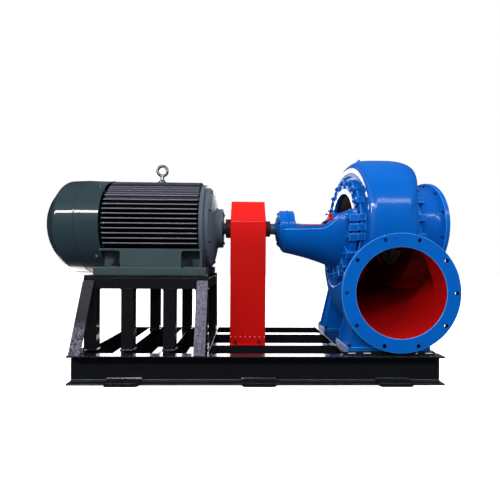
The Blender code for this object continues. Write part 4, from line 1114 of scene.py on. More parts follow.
def make_grille():
    """Wire rings and spokes over the cowl's opening, and a cap in their middle."""
    first, last = 0.062, 0.188
    bm = bmesh.new()
    for number in range(GRILLE_RINGS):
        radius = first + (last - first) * number / (GRILLE_RINGS - 1)
        add_ring(bm, (COWL_LEFT + GRILLE_WIRE + 0.0006, 0, SHAFT_Z), RIGHT, radius, GRILLE_WIRE, 72, 8)
    for angle in spread(GRILLE_SPOKES):
        x = COWL_LEFT + 0.0055
        add_tube(bm, (around(0.050, angle, x), around(0.192, angle, x)), 0.0026)
    left, right = COWL_LEFT + 0.0008, COWL_LEFT + 0.006
    add_turned(bm, [(left, 0.0), (left, 0.054, 0.003), (right, 0.056), (right, 0.0)], steps=64)
    piece("cowl_grille", bm, "motor_paint")


def make_cowl_screws():
    bm = bmesh.new()
    for angle in (40, 130, 230, 320):
        place = around(COWL_RADIUS, angle, -0.925)
        out = (place - Vector((place.x, 0, SHAFT_Z))).normalized()
        add_cap_screw(bm, place, out, 0.0085, 0.006)
        add_ring(bm, place + out * 0.0002, out, 0.0095, 0.0012, 24, 6)
    piece("cowl_screws", bm, "bright_steel")


def add_cable_gland(bm, place):
    """A cable gland under a box: its locknut, body, cap nut and seal."""
    for top, bottom, radius, sides, bevel in CABLE_GLAND:
        add_cylinder(bm, place - UP * top, place - UP * bottom, radius, sides, bevel=bevel)


def make_terminal_box():
    """The box with its lid and a raised panel on it, on the motor's far side."""
    low, high = node_box("motor_terminal_box")
    middle = (low + high) / 2
    seam = high.y - 0.022
    bm = bmesh.new()
    add_box(bm, low, (high.x, seam, high.z), 0.006, segments=3)
    add_box(bm, (low.x, seam + 0.0005, low.z), high, 0.007, segments=3)
    add_box(bm, (middle.x - 0.055, high.y - 0.004, middle.z - 0.030),
            (middle.x + 0.055, high.y - 0.0005, middle.z + 0.030), 0.001)
    piece("cast_terminal_box", bm, "motor_paint", node="motor_terminal_box")
    bm = bmesh.new()
    for x in (low.x + 0.016, high.x - 0.016):
        for z in (low.z + 0.016, high.z - 0.016):
            add_bolt(bm, (x, high.y - 0.007, z), BACK, 0.008)
    piece("terminal_box_screws", bm, "bright_steel")
    bm = bmesh.new()
    for x in (middle.x - 0.050, middle.x + 0.050):
        add_cable_gland(bm, Vector((x, middle.y, low.z)))
    piece("terminal_box_glands", bm, "black_plastic")


def make_eye_bolt():
    low, high = node_box("motor_eye_bolt")
    x = (low.x + high.x) / 2
    wire = 0.0095
    radius = 0.034
    centre = Vector((x, 0, high.z - radius - wire))
    neck = centre.z - radius - low.z
    bm = bmesh.new()
    collar = ((0.0, 0.0), (0.0, 0.030, 0.002), (0.010, 0.030, 0.004), (0.018, 0.016, 0.006), (neck, 0.011),
              (neck, 0.0))
    add_turned(bm, collar, Matrix.Translation((x, 0, low.z)), 48)
    add_ring(bm, centre, BACK, radius, wire, 64, 20)
    piece("forged_eye_bolt", bm, "bright_steel", node="motor_eye_bolt", looks=(FORGED_STEEL,))


# Coupling and guard


GUARD_SHEET = 0.004
GUARD_HALF = 0.185
GUARD_RIVETS = 8


def guard_outline(low, high):
    """The guard's folded sheet from the end, and the run of its outer face, both with soft bends."""
    sheet = GUARD_SHEET
    foot = high.y
    bend_z = SHAFT_Z + 0.034
    flat = 0.030
    outer_bend, top_bend = 0.028, 0.020
    half, inside = GUARD_HALF, GUARD_HALF - sheet
    outer = [(-half, low.z + sheet, 0.002), (-half, bend_z, outer_bend), (-flat, high.z, top_bend),
             (flat, high.z, top_bend), (half, bend_z, outer_bend), (half, low.z + sheet, 0.002)]
    inner = [(foot, low.z + sheet), (foot, low.z), (inside, low.z, 0.003)]
    inner += [(inside, bend_z - sheet * 0.4, outer_bend - sheet), (flat, high.z - sheet, top_bend - sheet)]
    inner += [(-y, z, radius) for y, z, radius in reversed(inner[2:])]
    outline = [(-foot, low.z), (-foot, low.z + sheet)] + outer + inner
    return rounded(outline, steps=7), rounded(outer, closed=False, steps=7)


def make_guard():
    """Folded sheet with its bends and rounded ends, rivets low along it and bolts in its feet."""
    low, high = node_box("coupling_guard")
    outline, outer = guard_outline(low, high)
    edge = 0.0022
    bm = bmesh.new()
    add_prism(bm, outline, frame_matrix((low.x, 0.0, 0.0), BACK, UP), high.x - low.x, 0.0006)
    for x in (low.x + edge, high.x - edge):
        add_tube(bm, [(x, y, z) for y, z in outer], edge, 6)
    # Its red paint darkens towards the bottom: painted shade.
    piece("folded_guard", bm, "guard_red", node="coupling_guard")
    rivets = bmesh.new()
    bolts = bmesh.new()
    for side in (-1, 1):
        for number in range(GUARD_RIVETS):
            x = low.x + 0.006 + number * (high.x - low.x - 0.012) / (GUARD_RIVETS - 1)
            add_cap_screw(rivets, (x, side * GUARD_HALF, low.z + 0.052), BACK * side, 0.0036, 0.0022)
        for x in (low.x + 0.038, high.x - 0.042):
            add_bolt(bolts, (x, side * (GUARD_HALF + 0.011), low.z + GUARD_SHEET), UP, 0.008)
            add_bolt(bolts, (x, side * GUARD_HALF, low.z + 0.022), BACK * side, 0.009)
    # The rivets' pale pink heads are a painted highlight.
    piece("guard_rivets", rivets, "guard_red", looks=(RIVET_HIGHLIGHT_PAINT,))
    piece("guard_bolts", bolts, "bright_steel", looks=(DARK_STEEL,))


MOTOR_HUB_LEFT = -0.135
PUMP_HUB_RIGHT = 0.176
COUPLING_RADIUS = 0.125
COUPLING_MIDDLE = 0.020
COUPLING_GAP = 0.002            # from the middle to each half
COUPLING_DISC = 0.048
PIN_CIRCLE = 0.098
SHAFT_COLLARS = (0.213, 0.378, 0.556)


def hub_profile(face, way, end, bore, radius):
    """Half a coupling: a disc behind its face and a hub that goes on to its end."""
    back = face + way * COUPLING_DISC
    return [(face, bore), (face, COUPLING_RADIUS, 0.002), (back, COUPLING_RADIUS, 0.004),
            (back, radius, 0.008), (end, radius, 0.004), (end, bore)]


def make_coupling():
    """Two flanged halves, the pins' nuts on both sides and a key's end."""
    motor_face = COUPLING_MIDDLE - COUPLING_GAP
    pump_face = COUPLING_MIDDLE + COUPLING_GAP
    profile = hub_profile(motor_face, -1, MOTOR_HUB_LEFT, 0.0403, 0.066)
    turned_piece("turned_motor_hub", profile[::-1], "hub_maroon", ROTOR, "motor_coupling_half", steps=72)
    profile = hub_profile(pump_face, 1, PUMP_HUB_RIGHT, 0.0383, 0.055)
    turned_piece("turned_pump_hub", profile, "hub_maroon", ROTOR, "pump_coupling_half", steps=72)
    bm = bmesh.new()
    for angle in spread(8):
        add_bolt(bm, around(PIN_CIRCLE, angle, pump_face + COUPLING_DISC), RIGHT, 0.014, stud=0.006)
        add_bolt(bm, around(PIN_CIRCLE, angle, motor_face - COUPLING_DISC), -RIGHT, 0.014)
    add_box(bm, (PUMP_HUB_RIGHT - 0.020, -0.007, SHAFT_Z + 0.030),
            (PUMP_HUB_RIGHT + 0.002, 0.007, SHAFT_Z + 0.0405), 0.0008)
    piece("coupling_pins", bm, "bright_steel", ROTOR)


def make_shafts():
    low, high = node_box("motor_shaft")
    step = -0.975
    bm = bmesh.new()
    add_turned(bm, [(low.x, 0.0), (low.x, 0.030, 0.002), (step, 0.030), (step, 0.040, 0.002),
                    (high.x, 0.040, 0.002), (high.x, 0.0)], steps=64)
    piece("ground_motor_shaft", bm, "bright_steel", ROTOR, "motor_shaft", looks=(SHAFT_STEEL,))
    low, high = node_box("pump_shaft")
    bm = bmesh.new()
    add_turned(bm, [(low.x, 0.0), (low.x, 0.038, 0.002), (high.x, 0.038, 0.002), (high.x, 0.0)], steps=64)
    for x in SHAFT_COLLARS:
        left, right = x - 0.006, x + 0.006
        add_turned(bm, [(left, 0.030), (left, 0.0425, 0.002), (right, 0.0425, 0.002),
                        (right, 0.030)], steps=64, hollow=True)
    piece("ground_pump_shaft", bm, "bright_steel", ROTOR, "pump_shaft", looks=(SHAFT_STEEL,))


# Bearing bracket


HOUSING_LEFT = 0.232
HOUSING_RIGHT = 0.360
HOUSING_RADIUS = 0.1285
BRACKET_LEFT = 0.270
BRACKET_RIGHT = 0.648
BRACKET_LEFT_RADIUS = 0.164
BRACKET_RIGHT_RADIUS = 0.279
BRACKET_WALL = 0.020
BRACKET_FACE = 0.684
BRACKET_STEPS = 14
HALF_CONE_LEFT = BRACKET_LEFT - 0.016
HALF_CONE_RIGHT = BRACKET_RIGHT + 0.004
RUNNING_BORE = 0.0386
RIM_LOW = 0.005                 # height of the trough's rim above the shaft
RIM_HIGH = 0.096
RIM_RISE_START = 0.488
RIM_RISE_END = 0.650
BEAD_DROP = 0.024               # from the trough's rim down to the bead outside
BEAD = 0.0045


def rim_height(x):
    """The trough's rim runs level from the housing, then sweeps up to the flange."""
    share = min(1.0, max(0.0, (x - RIM_RISE_START) / (RIM_RISE_END - RIM_RISE_START)))
    return RIM_LOW + (RIM_HIGH - RIM_LOW) * share * share * (3 - 2 * share)


def bracket_radius(x):
    """Outer radius of the half cone: it fills out a little between the housing and the flange."""
    share = min(1.0, max(0.0, (x - BRACKET_LEFT) / (BRACKET_RIGHT - BRACKET_LEFT)))
    return (BRACKET_LEFT_RADIUS + (BRACKET_RIGHT_RADIUS - BRACKET_LEFT_RADIUS) * share
            - 0.010 * sin(pi * share))


def bracket_spots():
    width = BRACKET_RIGHT - BRACKET_LEFT
    return [BRACKET_LEFT + width * i / BRACKET_STEPS for i in range(BRACKET_STEPS + 1)]


def bracket_shell():
    """The half cone with the bearing housing at its small end, as a solid."""
    start = HOUSING_LEFT + 0.004
    profile = [(start, 0.0), (start, 0.104), (start + 0.008, 0.122), (HALF_CONE_LEFT, 0.146)]
    profile += [(x, bracket_radius(x)) for x in bracket_spots()]
    profile += [(HALF_CONE_RIGHT, BRACKET_RIGHT_RADIUS + 0.010), (BRACKET_FACE, 0.290), (BRACKET_FACE, 0.0)]
    bm = bmesh.new()
    add_turned(bm, profile, steps=144)
    return bm


def trough_tools():
    """What is cut out of the half cone: its round inside, and all above its rim."""
    inside = BRACKET_RIGHT_RADIUS - BRACKET_WALL
    right = BRACKET_FACE + 0.010
    hollow = [(HOUSING_RIGHT, 0.0), (HOUSING_RIGHT, 0.138), (HOUSING_RIGHT + 0.012, 0.152)]
    hollow += [(x, bracket_radius(x) - BRACKET_WALL) for x in bracket_spots() if x > HOUSING_RIGHT + 0.02]
    hollow += [(right, inside), (right, 0.0)]
    trough = bmesh.new()
    add_turned(trough, hollow, steps=144)
    left, pitch, count = 0.150, 0.010, 56
    spots = [left + pitch * i for i in range(count)]
    outline = [(x, SHAFT_Z + rim_height(x)) for x in spots] + [(0.700, SHAFT_Z + 0.5), (left, SHAFT_Z + 0.5)]
    opening = bmesh.new()
    add_prism(opening, outline, frame_matrix((0, 0.5, 0), RIGHT, UP), 1.0)
    return trough, opening


def make_bracket():
    bm = carve(bracket_shell(), trough_tools(), finish=1)
    piece("cast_bracket", bm, "pump_blue", node="pump_bracket", looks=(PUMP_PAINT, PRIMER),
          flat_ends=False)


def add_rim_beads(bm, side):
    """A cast bead outside under the trough's rim with a painted highlight, and a thin primed one along the
    rim itself.
    """
    count = 60
    points = []
    for i in range(count):
        x = HALF_CONE_LEFT + (HALF_CONE_RIGHT - HALF_CONE_LEFT) * i / (count - 1)
        z = rim_height(x) - BEAD_DROP
        radius = bracket_radius(x) if x > BRACKET_LEFT else 0.146 + (x - HALF_CONE_LEFT) * 1.1
        points.append((x, side * (sqrt(radius ** 2 - z * z) - 0.0005), SHAFT_Z + z))
    add_tube(bm, points, BEAD, 12, finish=1)
    points = [(x, side * sqrt(bracket_radius(x) ** 2 - RIM_LOW ** 2), SHAFT_Z + RIM_LOW)
              for x in [0.345 + 0.155 * i / 20 for i in range(21)]]
    add_tube(bm, points, 0.0028, 8, finish=2)


def make_bearing_barrel():
    """The round bearing housing, a ring round the cone's start, two pads and the rim's beads."""
    end = HOUSING_RIGHT - 0.004
    ring_left, ring_right = BRACKET_LEFT + 0.018, BRACKET_LEFT + 0.026
    bm = bmesh.new()
    add_turned(bm, [(HOUSING_LEFT, RUNNING_BORE), (HOUSING_LEFT, 0.121, 0.004),
                    (HOUSING_LEFT + 0.012, HOUSING_RADIUS, 0.006),
                    (HOUSING_RIGHT - 0.026, HOUSING_RADIUS - 0.001, 0.008),
                    (end, 0.070, 0.006), (end, RUNNING_BORE)], hollow=True, steps=128)
    add_turned(bm, [(ring_left, 0.120), (ring_left, 0.134, 0.004), (ring_right, 0.134, 0.004),
                    (ring_right, 0.120)], hollow=True, steps=128)
    for side in (-1, 1):
        y = side * 0.108
        add_box(bm, (BRACKET_LEFT - 0.006, y - 0.040, SHAFT_Z - 0.040),
                (HOUSING_RIGHT + 0.006, y + 0.040, SHAFT_Z + RIM_LOW), 0.008)
        add_rim_beads(bm, side)
    piece("bearing_barrel", bm, "pump_blue", looks=(PUMP_PAINT, HIGHLIGHT_BLUE, PRIMER))


def make_bearing_cover():
    bm = bmesh.new()
    add_bolts(bm, 0.104, spread(6, 10), HOUSING_LEFT + 0.0005, -1, 0.010)
    piece("bearing_cover_bolts", bm, "pump_blue", looks=(DARK_BOLT,))
    low, high = node_box("pump_bearing_cover")
    turned_piece("turned_bearing_cover",
                 [(low.x, RUNNING_BORE), (low.x, 0.082, 0.003), (high.x, 0.090, 0.001),
                  (high.x, RUNNING_BORE)], "pump_blue", node="pump_bearing_cover")


# Bosses and studs round the casing


LUG_ANGLES = spread(18, 3)
BOSS_ANGLES = LUG_ANGLES + [93, 267]        # one more boss on each side, just under the shaft's height
BRACKET_TURN = 0.6              # the bracket's bosses are turned this much from the casing's
BRACKET_BOSS_LEFT = 0.630
LUG_WIDTH = 0.048
LUG_OUTER = 0.346
LUG_INNER = 0.270
STUD_CIRCLE = 0.322
FLANGE_RIM = 0.334
COVER_LEFT = 0.684
CASING_FACE = 0.722
CASING_BACK = 1.045


def add_lug(bm, angle, left, right, width=LUG_WIDTH, outer=LUG_OUTER):
    """A rounded boss that lies along the shaft, at an angle about it."""
    out = around(outer, angle, 0.0) - Vector((0.0, 0.0, SHAFT_Z))
    out.normalize()
    across = RIGHT.cross(out)
    half = width / 2
    outline = rounded([(-half, LUG_INNER), (half, LUG_INNER), (half, outer, 0.007), (-half, outer, 0.007)])
    add_prism(bm, outline, frame_matrix((left, 0, SHAFT_Z), -across, out), right - left, 0.0025)


def below_rim(angle):
    """Whether a boss at this angle belongs to the part of the bracket under its rim."""
    return LUG_OUTER * cos(radians(angle)) < rim_height(BRACKET_RIGHT) + 0.012


def make_bracket_bosses():
    bm = bmesh.new()
    for angle in filter(below_rim, BOSS_ANGLES):
        add_lug(bm, angle + BRACKET_TURN, BRACKET_BOSS_LEFT, BRACKET_FACE - SEAM)
    paint_edge_highlights(bm)
    piece("bracket_bosses", bm, "pump_blue", looks=(PUMP_PAINT, HIGHLIGHT_BLUE))


def make_bracket_flange():
    """The bracket's flange ring, cut off level with the top of its rim."""
    left, face = BRACKET_RIGHT - 0.004, BRACKET_FACE - SEAM
    ring = bmesh.new()
    add_turned(ring, [(left, 0.255), (left, 0.318, 0.008), (left + 0.010, FLANGE_RIM, 0.004),
                      (face, FLANGE_RIM, 0.001), (face, 0.255)], hollow=True, steps=144)
    tool = bmesh.new()
    add_box(tool, (0.5, -0.5, SHAFT_Z + RIM_HIGH), (0.8, 0.5, SHAFT_Z + 0.6))
    ring = carve(ring, (tool,), finish=1)
    piece("bracket_flange", ring, "pump_blue", looks=(PUMP_PAINT, PRIMER))


def make_studs():
    """The casing's studs: on the bracket's bosses below its rim, else on the cover, and at the back."""
    bm = bmesh.new()
    for angle in LUG_ANGLES:
        if below_rim(angle):
            place = around(STUD_CIRCLE, angle + BRACKET_TURN, BRACKET_BOSS_LEFT)
            add_bolt(bm, place, -RIGHT, 0.015, stud=0.004)
        else:
            add_bolt(bm, around(STUD_CIRCLE, angle, COVER_LEFT), -RIGHT, 0.016, stud=0.008)
        add_bolt(bm, around(STUD_CIRCLE, angle, CASING_BACK + 0.0555), RIGHT, 0.015, stud=0.004)
    piece("casing_studs", bm, "pump_blue", looks=(PUMP_PAINT,))


def make_cover_rim(end):
    """The rear cover's rim with its bosses, painted outside and near black on the side in the casing
    (painted shade).
    """
    left, face, step = COVER_LEFT, CASING_FACE - SEAM, end - 0.010
    bm = bmesh.new()
    add_turned(bm, [(left, 0.250), (left, 0.282, 0.002), (left + 0.010, 0.286, 0.003),
                    (left + 0.018, FLANGE_RIM, 0.004), (face, FLANGE_RIM, 0.001), (face, 0.2995),
                    (step, 0.2995), (step, 0.235), (left + 0.030, 0.244)], hollow=True, steps=144)
    for angle in BOSS_ANGLES:
        add_lug(bm, angle, left, face, LUG_WIDTH - 0.002, LUG_OUTER - 0.002)
    paint_edge_highlights(bm)
    # Faces inside the casing take the near black primer: painted shade.
    for side in bm.faces:
        if side.calc_center_median().x > CASING_FACE:
            side.material_index = 2
    piece("cast_cover_rim", bm, "pump_blue", node="pump_rear_cover",
          looks=(PUMP_PAINT, HIGHLIGHT_BLUE, SHADE_PRIMER))
    lip = left - 0.0004
    turned_piece("machined_cover_lip",
                 [(lip, 0.2505), (lip, 0.2815, 0.0008), (lip + 0.005, 0.2815), (lip + 0.005, 0.2505)],
                 "pump_blue", looks=(WET_BLUE,), steps=144)


def make_cover_dish(end):
    """The dish inside the rim, near black as painted shade, with a primed wall round the shaft at its
    bottom.
    """
    left, dish_right = COVER_LEFT + 0.004, 0.768
    bm = bmesh.new()
    add_turned(bm, [(left, 0.2495), (left + 0.030, 0.243, 0.008), (dish_right, 0.166), (end, 0.166),
                    (end, 0.252), (end - 0.010, 0.262), (left, 0.262)],
               hollow=True, steps=128, finish=1)
    add_turned(bm, [(dish_right, 0.168), (0.776, 0.150, 0.010), (0.781, 0.100), (end, RUNNING_BORE),
                    (end, 0.168)], hollow=True, steps=128)
    piece("cover_dish", bm, "guard_red", looks=(PRIMER, SHADE_PRIMER))


def make_stuffing_box(left):
    bm = bmesh.new()
    add_turned(bm, [(left, RUNNING_BORE), (left, 0.110, 0.006), (left + 0.012, 0.118, 0.012),
                    (0.740, 0.120, 0.020), (0.786, 0.150), (0.790, RUNNING_BORE)],
               hollow=True, steps=112)
    for angle in (90, 270):
        add_cylinder(bm, around(0.084, angle, left - 0.018), around(0.084, angle, left + 0.010), 0.020, 28,
                     bevel=0.002)
    piece("stuffing_box", bm, "pump_blue", looks=(PUMP_PAINT,))


def make_gland():
    low, high = node_box("pump_gland")
    turned_piece("turned_gland", [(low.x, RUNNING_BORE), (low.x, 0.074, 0.004), (high.x, 0.074, 0.002),
                                  (high.x, RUNNING_BORE)], "pump_blue", node="pump_gland", steps=64)
    bm = bmesh.new()
    add_bolts(bm, 0.058, (20, 160, 200, 340), low.x - 0.0002, -1, 0.010, stud=0.006)
    piece("gland_studs", bm, "bright_steel", looks=(DARK_BOLT,))


def make_rear_cover():
    low, high = node_box("pump_rear_cover")
    make_cover_rim(high.x)
    make_cover_dish(high.x)
    make_stuffing_box(low.x)
    make_gland()


def make_packing_valve():
    """Small valve with its cast body, hexagon ends, union and lever."""
    low, high = node_box("packing_valve")
    x = 0.580
    y = -0.085
    pipe_z = SHAFT_Z + 0.070
    height = high.z - low.z
    lever_z = high.z - 0.012
    bm = bmesh.new()
    body = ((0.0, 0.0), (0.0, 0.009), (0.004, 0.0125, 0.002), (0.020, 0.013, 0.004), (0.028, 0.010, 0.002),
            (0.036, 0.0125, 0.003), (0.048, 0.010, 0.002), (height, 0.008, 0.002), (height, 0.0))
    add_turned(bm, body, Matrix.Translation((x, y, low.z)), 32)
    for z in (low.z + 0.004, low.z + 0.036):
        add_cylinder(bm, (x, y, z), (x, y, z + 0.008), 0.0145, 6, bevel=0.001)
    add_cylinder(bm, (x, y, pipe_z), (high.x, y, pipe_z), 0.008, 20)
    add_cylinder(bm, (x + 0.006, y, pipe_z), (x + 0.012, y, pipe_z), 0.0115, 6, bevel=0.001)
    add_box(bm, (low.x, y - 0.005, lever_z), (x + 0.009, y + 0.005, lever_z + 0.005), 0.0016)
    knob_x = low.x + 0.006
    add_cylinder(bm, (knob_x, y, lever_z - 0.0045), (knob_x, y, lever_z + 0.008), 0.0062, 20, bevel=0.0015)
    # The guard's red paint, darker towards the bottom: painted shade.
    piece("cast_packing_valve", bm, "guard_red", node="packing_valve")


# Volute casing


VOLUTE_X = 0.909
VOLUTE_NEAR_LEFT = VOLUTE_X - CASING_FACE - 0.004
VOLUTE_NEAR_RIGHT = 0.095
VOLUTE_FAR_WIDTH = 0.290
VOLUTE_FAR_RIGHT = 0.300
VOLUTE_NEAR_REACH = 0.430
VOLUTE_TOP_REACH = 0.478
VOLUTE_REAR_REACH = 0.565
VOLUTE_BOTTOM_REACH = 0.700
CASING_RADIUS = 0.428
CASING_WALL = 0.018
RECESS_RADIUS = 0.362
COVER_SPIGOT = 0.3005           # bore that takes the rear cover
DISCHARGE_Z = 0.527
DISCHARGE_FACE = 0.4294         # distances from the shaft's plane
DISCHARGE_BACK = DISCHARGE_FACE - 0.028
DISCHARGE_RADIUS = 0.350
DISCHARGE_BORE = 0.266
OUTLET_RADIUS = 0.288
DISCHARGE_BOLT_CIRCLE = 0.3225
DISCHARGE_BOLTS = 10
HOLE_RADIUS = 0.0120
CAST_VOXEL = 0.0065
ARCH_INNER = 0.388
ARCH_OUTER = 0.430
ARCH_ANGLES = range(-27, 208, 3)
SECTION_POINTS = 56
DISCHARGE_FRAME = frame_matrix((VOLUTE_X, 0.0, DISCHARGE_Z), UP, -RIGHT)


def growth(angle_deg, start, end, power=1.0):
    """How far an angle has come from start to end, from 0 to 1."""
    return min(1.0, max(0.0, (angle_deg - start) / (end - start))) ** power


def volute_left(angle_deg):
    """How far the volute reaches to the left of its middle at an angle."""
    return VOLUTE_NEAR_LEFT + (VOLUTE_FAR_WIDTH - VOLUTE_NEAR_LEFT) * growth(angle_deg, 0, 270, 2.0)


def volute_outer(angle_deg):
    """How far the volute reaches from the shaft at an angle."""
    return (VOLUTE_NEAR_REACH + (VOLUTE_TOP_REACH - VOLUTE_NEAR_REACH) * growth(angle_deg, -10, 90)
            + (VOLUTE_REAR_REACH - VOLUTE_TOP_REACH) * growth(angle_deg, 90, 180, 1.1)
            + (VOLUTE_BOTTOM_REACH - VOLUTE_REAR_REACH) * growth(angle_deg, 180, 270, 1.2))


def about_shaft(x, radius, angle_deg):
    """A point by the volute's angles: 0 is the near side, 90 the top, 270 the bottom."""
    turn = radians(angle_deg)
    return Vector((x, -radius * cos(turn), SHAFT_Z + radius * sin(turn)))


def section_points(angle_deg, inset):
    """The volute's section at an angle: an oval, squarer on the near side."""
    left = volute_left(angle_deg)
    right = VOLUTE_NEAR_RIGHT + (VOLUTE_FAR_RIGHT - VOLUTE_NEAR_RIGHT) * growth(angle_deg, 10, 105)
    outer = volute_outer(angle_deg)
    inner = 0.200 - 0.080 * growth(angle_deg, 60, 270)
    square_left = 5.0 - 3.0 * growth(angle_deg, 90, 270)
    square_right = 4.0 - 2.0 * growth(angle_deg, 20, 90)
    half_x = (left + right) / 2 - inset
    half_r = (outer - inner) / 2 - inset
    points = []
    for across, up in circle(1.0, SECTION_POINTS):
        power = 2 / (square_right if across >= 0 else square_left)
        x = VOLUTE_X + (right - left) / 2 + half_x * copysign(abs(across) ** power, across)
        radius = (outer + inner) / 2 + half_r * copysign(abs(up) ** power, up)
        points.append(about_shaft(x, radius, angle_deg))
    return points


def outlet_points(reach, radius):
    """A round section of the outlet, at a distance in front of the shaft."""
    return [Vector((VOLUTE_X + x, -reach, DISCHARGE_Z - z)) for x, z in circle(radius, SECTION_POINTS)]


def volute_rings(inset, end_reach, end_radius, start=-15):
    rings = [section_points(angle, inset) for angle in range(start, 271, 5)]
    rings.append(outlet_points(0.120, OUTLET_RADIUS - inset))
    rings.append(outlet_points(end_reach, end_radius))
    return rings


def recess_tools(spare):
    """Hollows round the bracket's and the suction cover's flanges, where the volute bulges past them."""
    left, right = CASING_FACE + spare, CASING_BACK - spare
    near_radius, far_radius = 0.400 + spare, 0.380 + spare
    start, end = 0.450, 1.400
    near = bmesh.new()
    add_turned(near, [(start, 0.0), (start, near_radius), (0.640 + spare, near_radius),
                      (left, RECESS_RADIUS + spare), (left, 0.0)])
    far = bmesh.new()
    add_turned(far, [(right, 0.0), (right, RECESS_RADIUS - 0.010 + spare), (right + 0.060, far_radius),
                     (end, far_radius), (end, 0.0)])
    return near, far


def casing_skin():
    """The volute run together with the round casing body, with soft corners and cleared recesses."""
    bm = bmesh.new()
    add_loft(bm, volute_rings(0.0, DISCHARGE_BACK + 0.004, OUTLET_RADIUS))
    left = CASING_FACE + 0.010
    add_turned(bm, [(left, 0.0), (left, CASING_RADIUS, 0.020),
                    (CASING_BACK - 0.050, CASING_RADIUS - 0.008, 0.050),
                    (CASING_BACK, CASING_RADIUS - 0.055, 0.020), (CASING_BACK, 0.0)], corners=8, steps=144)
    bm = melt(bm, CAST_VOXEL, 4)
    bm = carve(bm, recess_tools(0.0))
    return melt(bm, CAST_VOXEL, 10)


def make_casing():
    """The volute's casting, hollowed along the volute and then by the impeller's stepped chamber."""
    inside = bmesh.new()
    add_loft(inside, volute_rings(CASING_WALL + 0.002, DISCHARGE_FACE + 0.05, DISCHARGE_BORE, 0))
    inside = carve(inside, recess_tools(CASING_WALL + 0.014))
    bm = carve(casing_skin(), (inside,), finish=1)
    left, step, right = CASING_FACE - 0.02, 0.850, CASING_BACK + 0.020
    eye = 0.262
    chamber = bmesh.new()
    add_turned(chamber, [(left, 0.0), (left, COVER_SPIGOT), (step, COVER_SPIGOT), (step + 0.002, eye),
                         (right, eye), (right, 0.0)])
    bm = carve(bm, (chamber,), finish=1)
    # Its hollow is primed and darkens upwards: painted shade.
    piece("cast_volute", bm, "pump_blue", node="pump_casing", looks=(PUMP_PAINT, VOLUTE_PRIMER),
          flat_ends=False)


def make_arch_rim():
    """A bright raised rim on the volute's face, in an arch round the rear cover."""
    bm = bmesh.new()
    rings = []
    for angle in ARCH_ANGLES:
        front = VOLUTE_X - volute_left(angle) - 0.0015
        corners = ((front + 0.024, ARCH_INNER), (front + 0.0015, ARCH_INNER), (front, ARCH_INNER + 0.002),
                   (front, ARCH_OUTER - 0.012), (front + 0.002, ARCH_OUTER - 0.006),
                   (front + 0.007, ARCH_OUTER - 0.002), (front + 0.024, ARCH_OUTER))
        rings.append([about_shaft(x, radius, angle) for x, radius in corners])
    add_loft(bm, rings)
    piece("casing_arch_rim", bm, "pump_blue", looks=(WET_BLUE,))


def make_cover_seat():
    """The casing's face round the rear cover, with its bosses."""
    face, bore = CASING_FACE + 0.0005, COVER_SPIGOT + 0.0001
    bm = bmesh.new()
    add_turned(bm, [(face, bore), (face, 0.330, 0.002), (CASING_FACE + 0.011, 0.348, 0.004),
                    (CASING_FACE + 0.014, 0.374), (CASING_FACE + 0.020, 0.374),
                    (CASING_FACE + 0.020, bore)], hollow=True, steps=144)
    for angle in BOSS_ANGLES:
        add_lug(bm, angle, CASING_FACE + 0.0006, CASING_FACE + 0.030, LUG_WIDTH, LUG_OUTER + 0.003)
    paint_edge_highlights(bm)
    piece("cover_seat", bm, "pump_blue", looks=(PUMP_PAINT, HIGHLIGHT_BLUE))


def make_discharge_flange():
    face, back = DISCHARGE_FACE, DISCHARGE_BACK
    bore = DISCHARGE_BORE + 0.0005
    bm = bmesh.new()
    add_turned(bm, [(back - 0.024, bore), (back - 0.024, OUTLET_RADIUS + 0.001),
                    (back - 0.002, OUTLET_RADIUS + 0.008, 0.006), (back, DISCHARGE_RADIUS, 0.0025),
                    (face, DISCHARGE_RADIUS, 0.003), (face, bore, 0.003)],
               DISCHARGE_FRAME, hollow=True, steps=160)
    paint_edge_highlights(bm)
    holes = bmesh.new()
    for x, z in circle(DISCHARGE_BOLT_CIRCLE, DISCHARGE_BOLTS):
        add_cylinder(holes, (VOLUTE_X + x, -face - 0.01, DISCHARGE_Z + z),
                     (VOLUTE_X + x, -back + 0.01, DISCHARGE_Z + z), HOLE_RADIUS, 40)
    # The holes' walls are near black primer: painted shade.
    bm = carve(bm, (holes,), finish=2)
    piece("discharge_flange", bm, "pump_blue", looks=(PUMP_PAINT, HIGHLIGHT_BLUE, SHADE_PRIMER))


def make_discharge_lining():
    """Primer in the discharge bore, darker towards its back: painted shade."""
    start, end = DISCHARGE_BACK - 0.100, DISCHARGE_FACE - 0.004
    inner, outer = DISCHARGE_BORE - 0.0015, DISCHARGE_BORE + 0.0012
    turned_piece("discharge_lining", [(start, inner), (end, inner), (end, outer), (start, outer)],
                 "guard_red", looks=(BORE_PRIMER,), matrix=DISCHARGE_FRAME, steps=160)


def add_plug(bm, place, way, radius, sunk, height, head):
    """A screwed plug: a round boss, sunk and raised as far as said, and a hexagon head on it."""
    add_cylinder(bm, place - way * sunk, place + way * height, radius, 32, bevel=0.001)
    add_bolt(bm, place + way * head, way, 0.012)


def make_casing_plugs():
    """The vent plug on top of the volute, and the drain plug low on its near side."""
    bm = bmesh.new()
    add_plug(bm, Vector((0.800, -0.010, SHAFT_Z + VOLUTE_TOP_REACH)), UP, 0.016, 0.012, 0.004, 0.003)
    add_plug(bm, Vector((0.868, -0.416, SHAFT_Z - 0.085)), -BACK, 0.015, 0.020, 0.006, 0.006)
    piece("casing_plugs", bm, "pump_blue", looks=(PUMP_PAINT,))


# Suction cover and pump feet


SUCTION_BOLT_CIRCLE = 0.302
SUCTION_BORE = 0.2505
PUMP_FEET = (("front", -0.375, -0.130), ("rear", 0.180, 0.385))     # how far each reaches in y
SOLE_THICKNESS = 0.022
FOOT_HEAD = 0.520


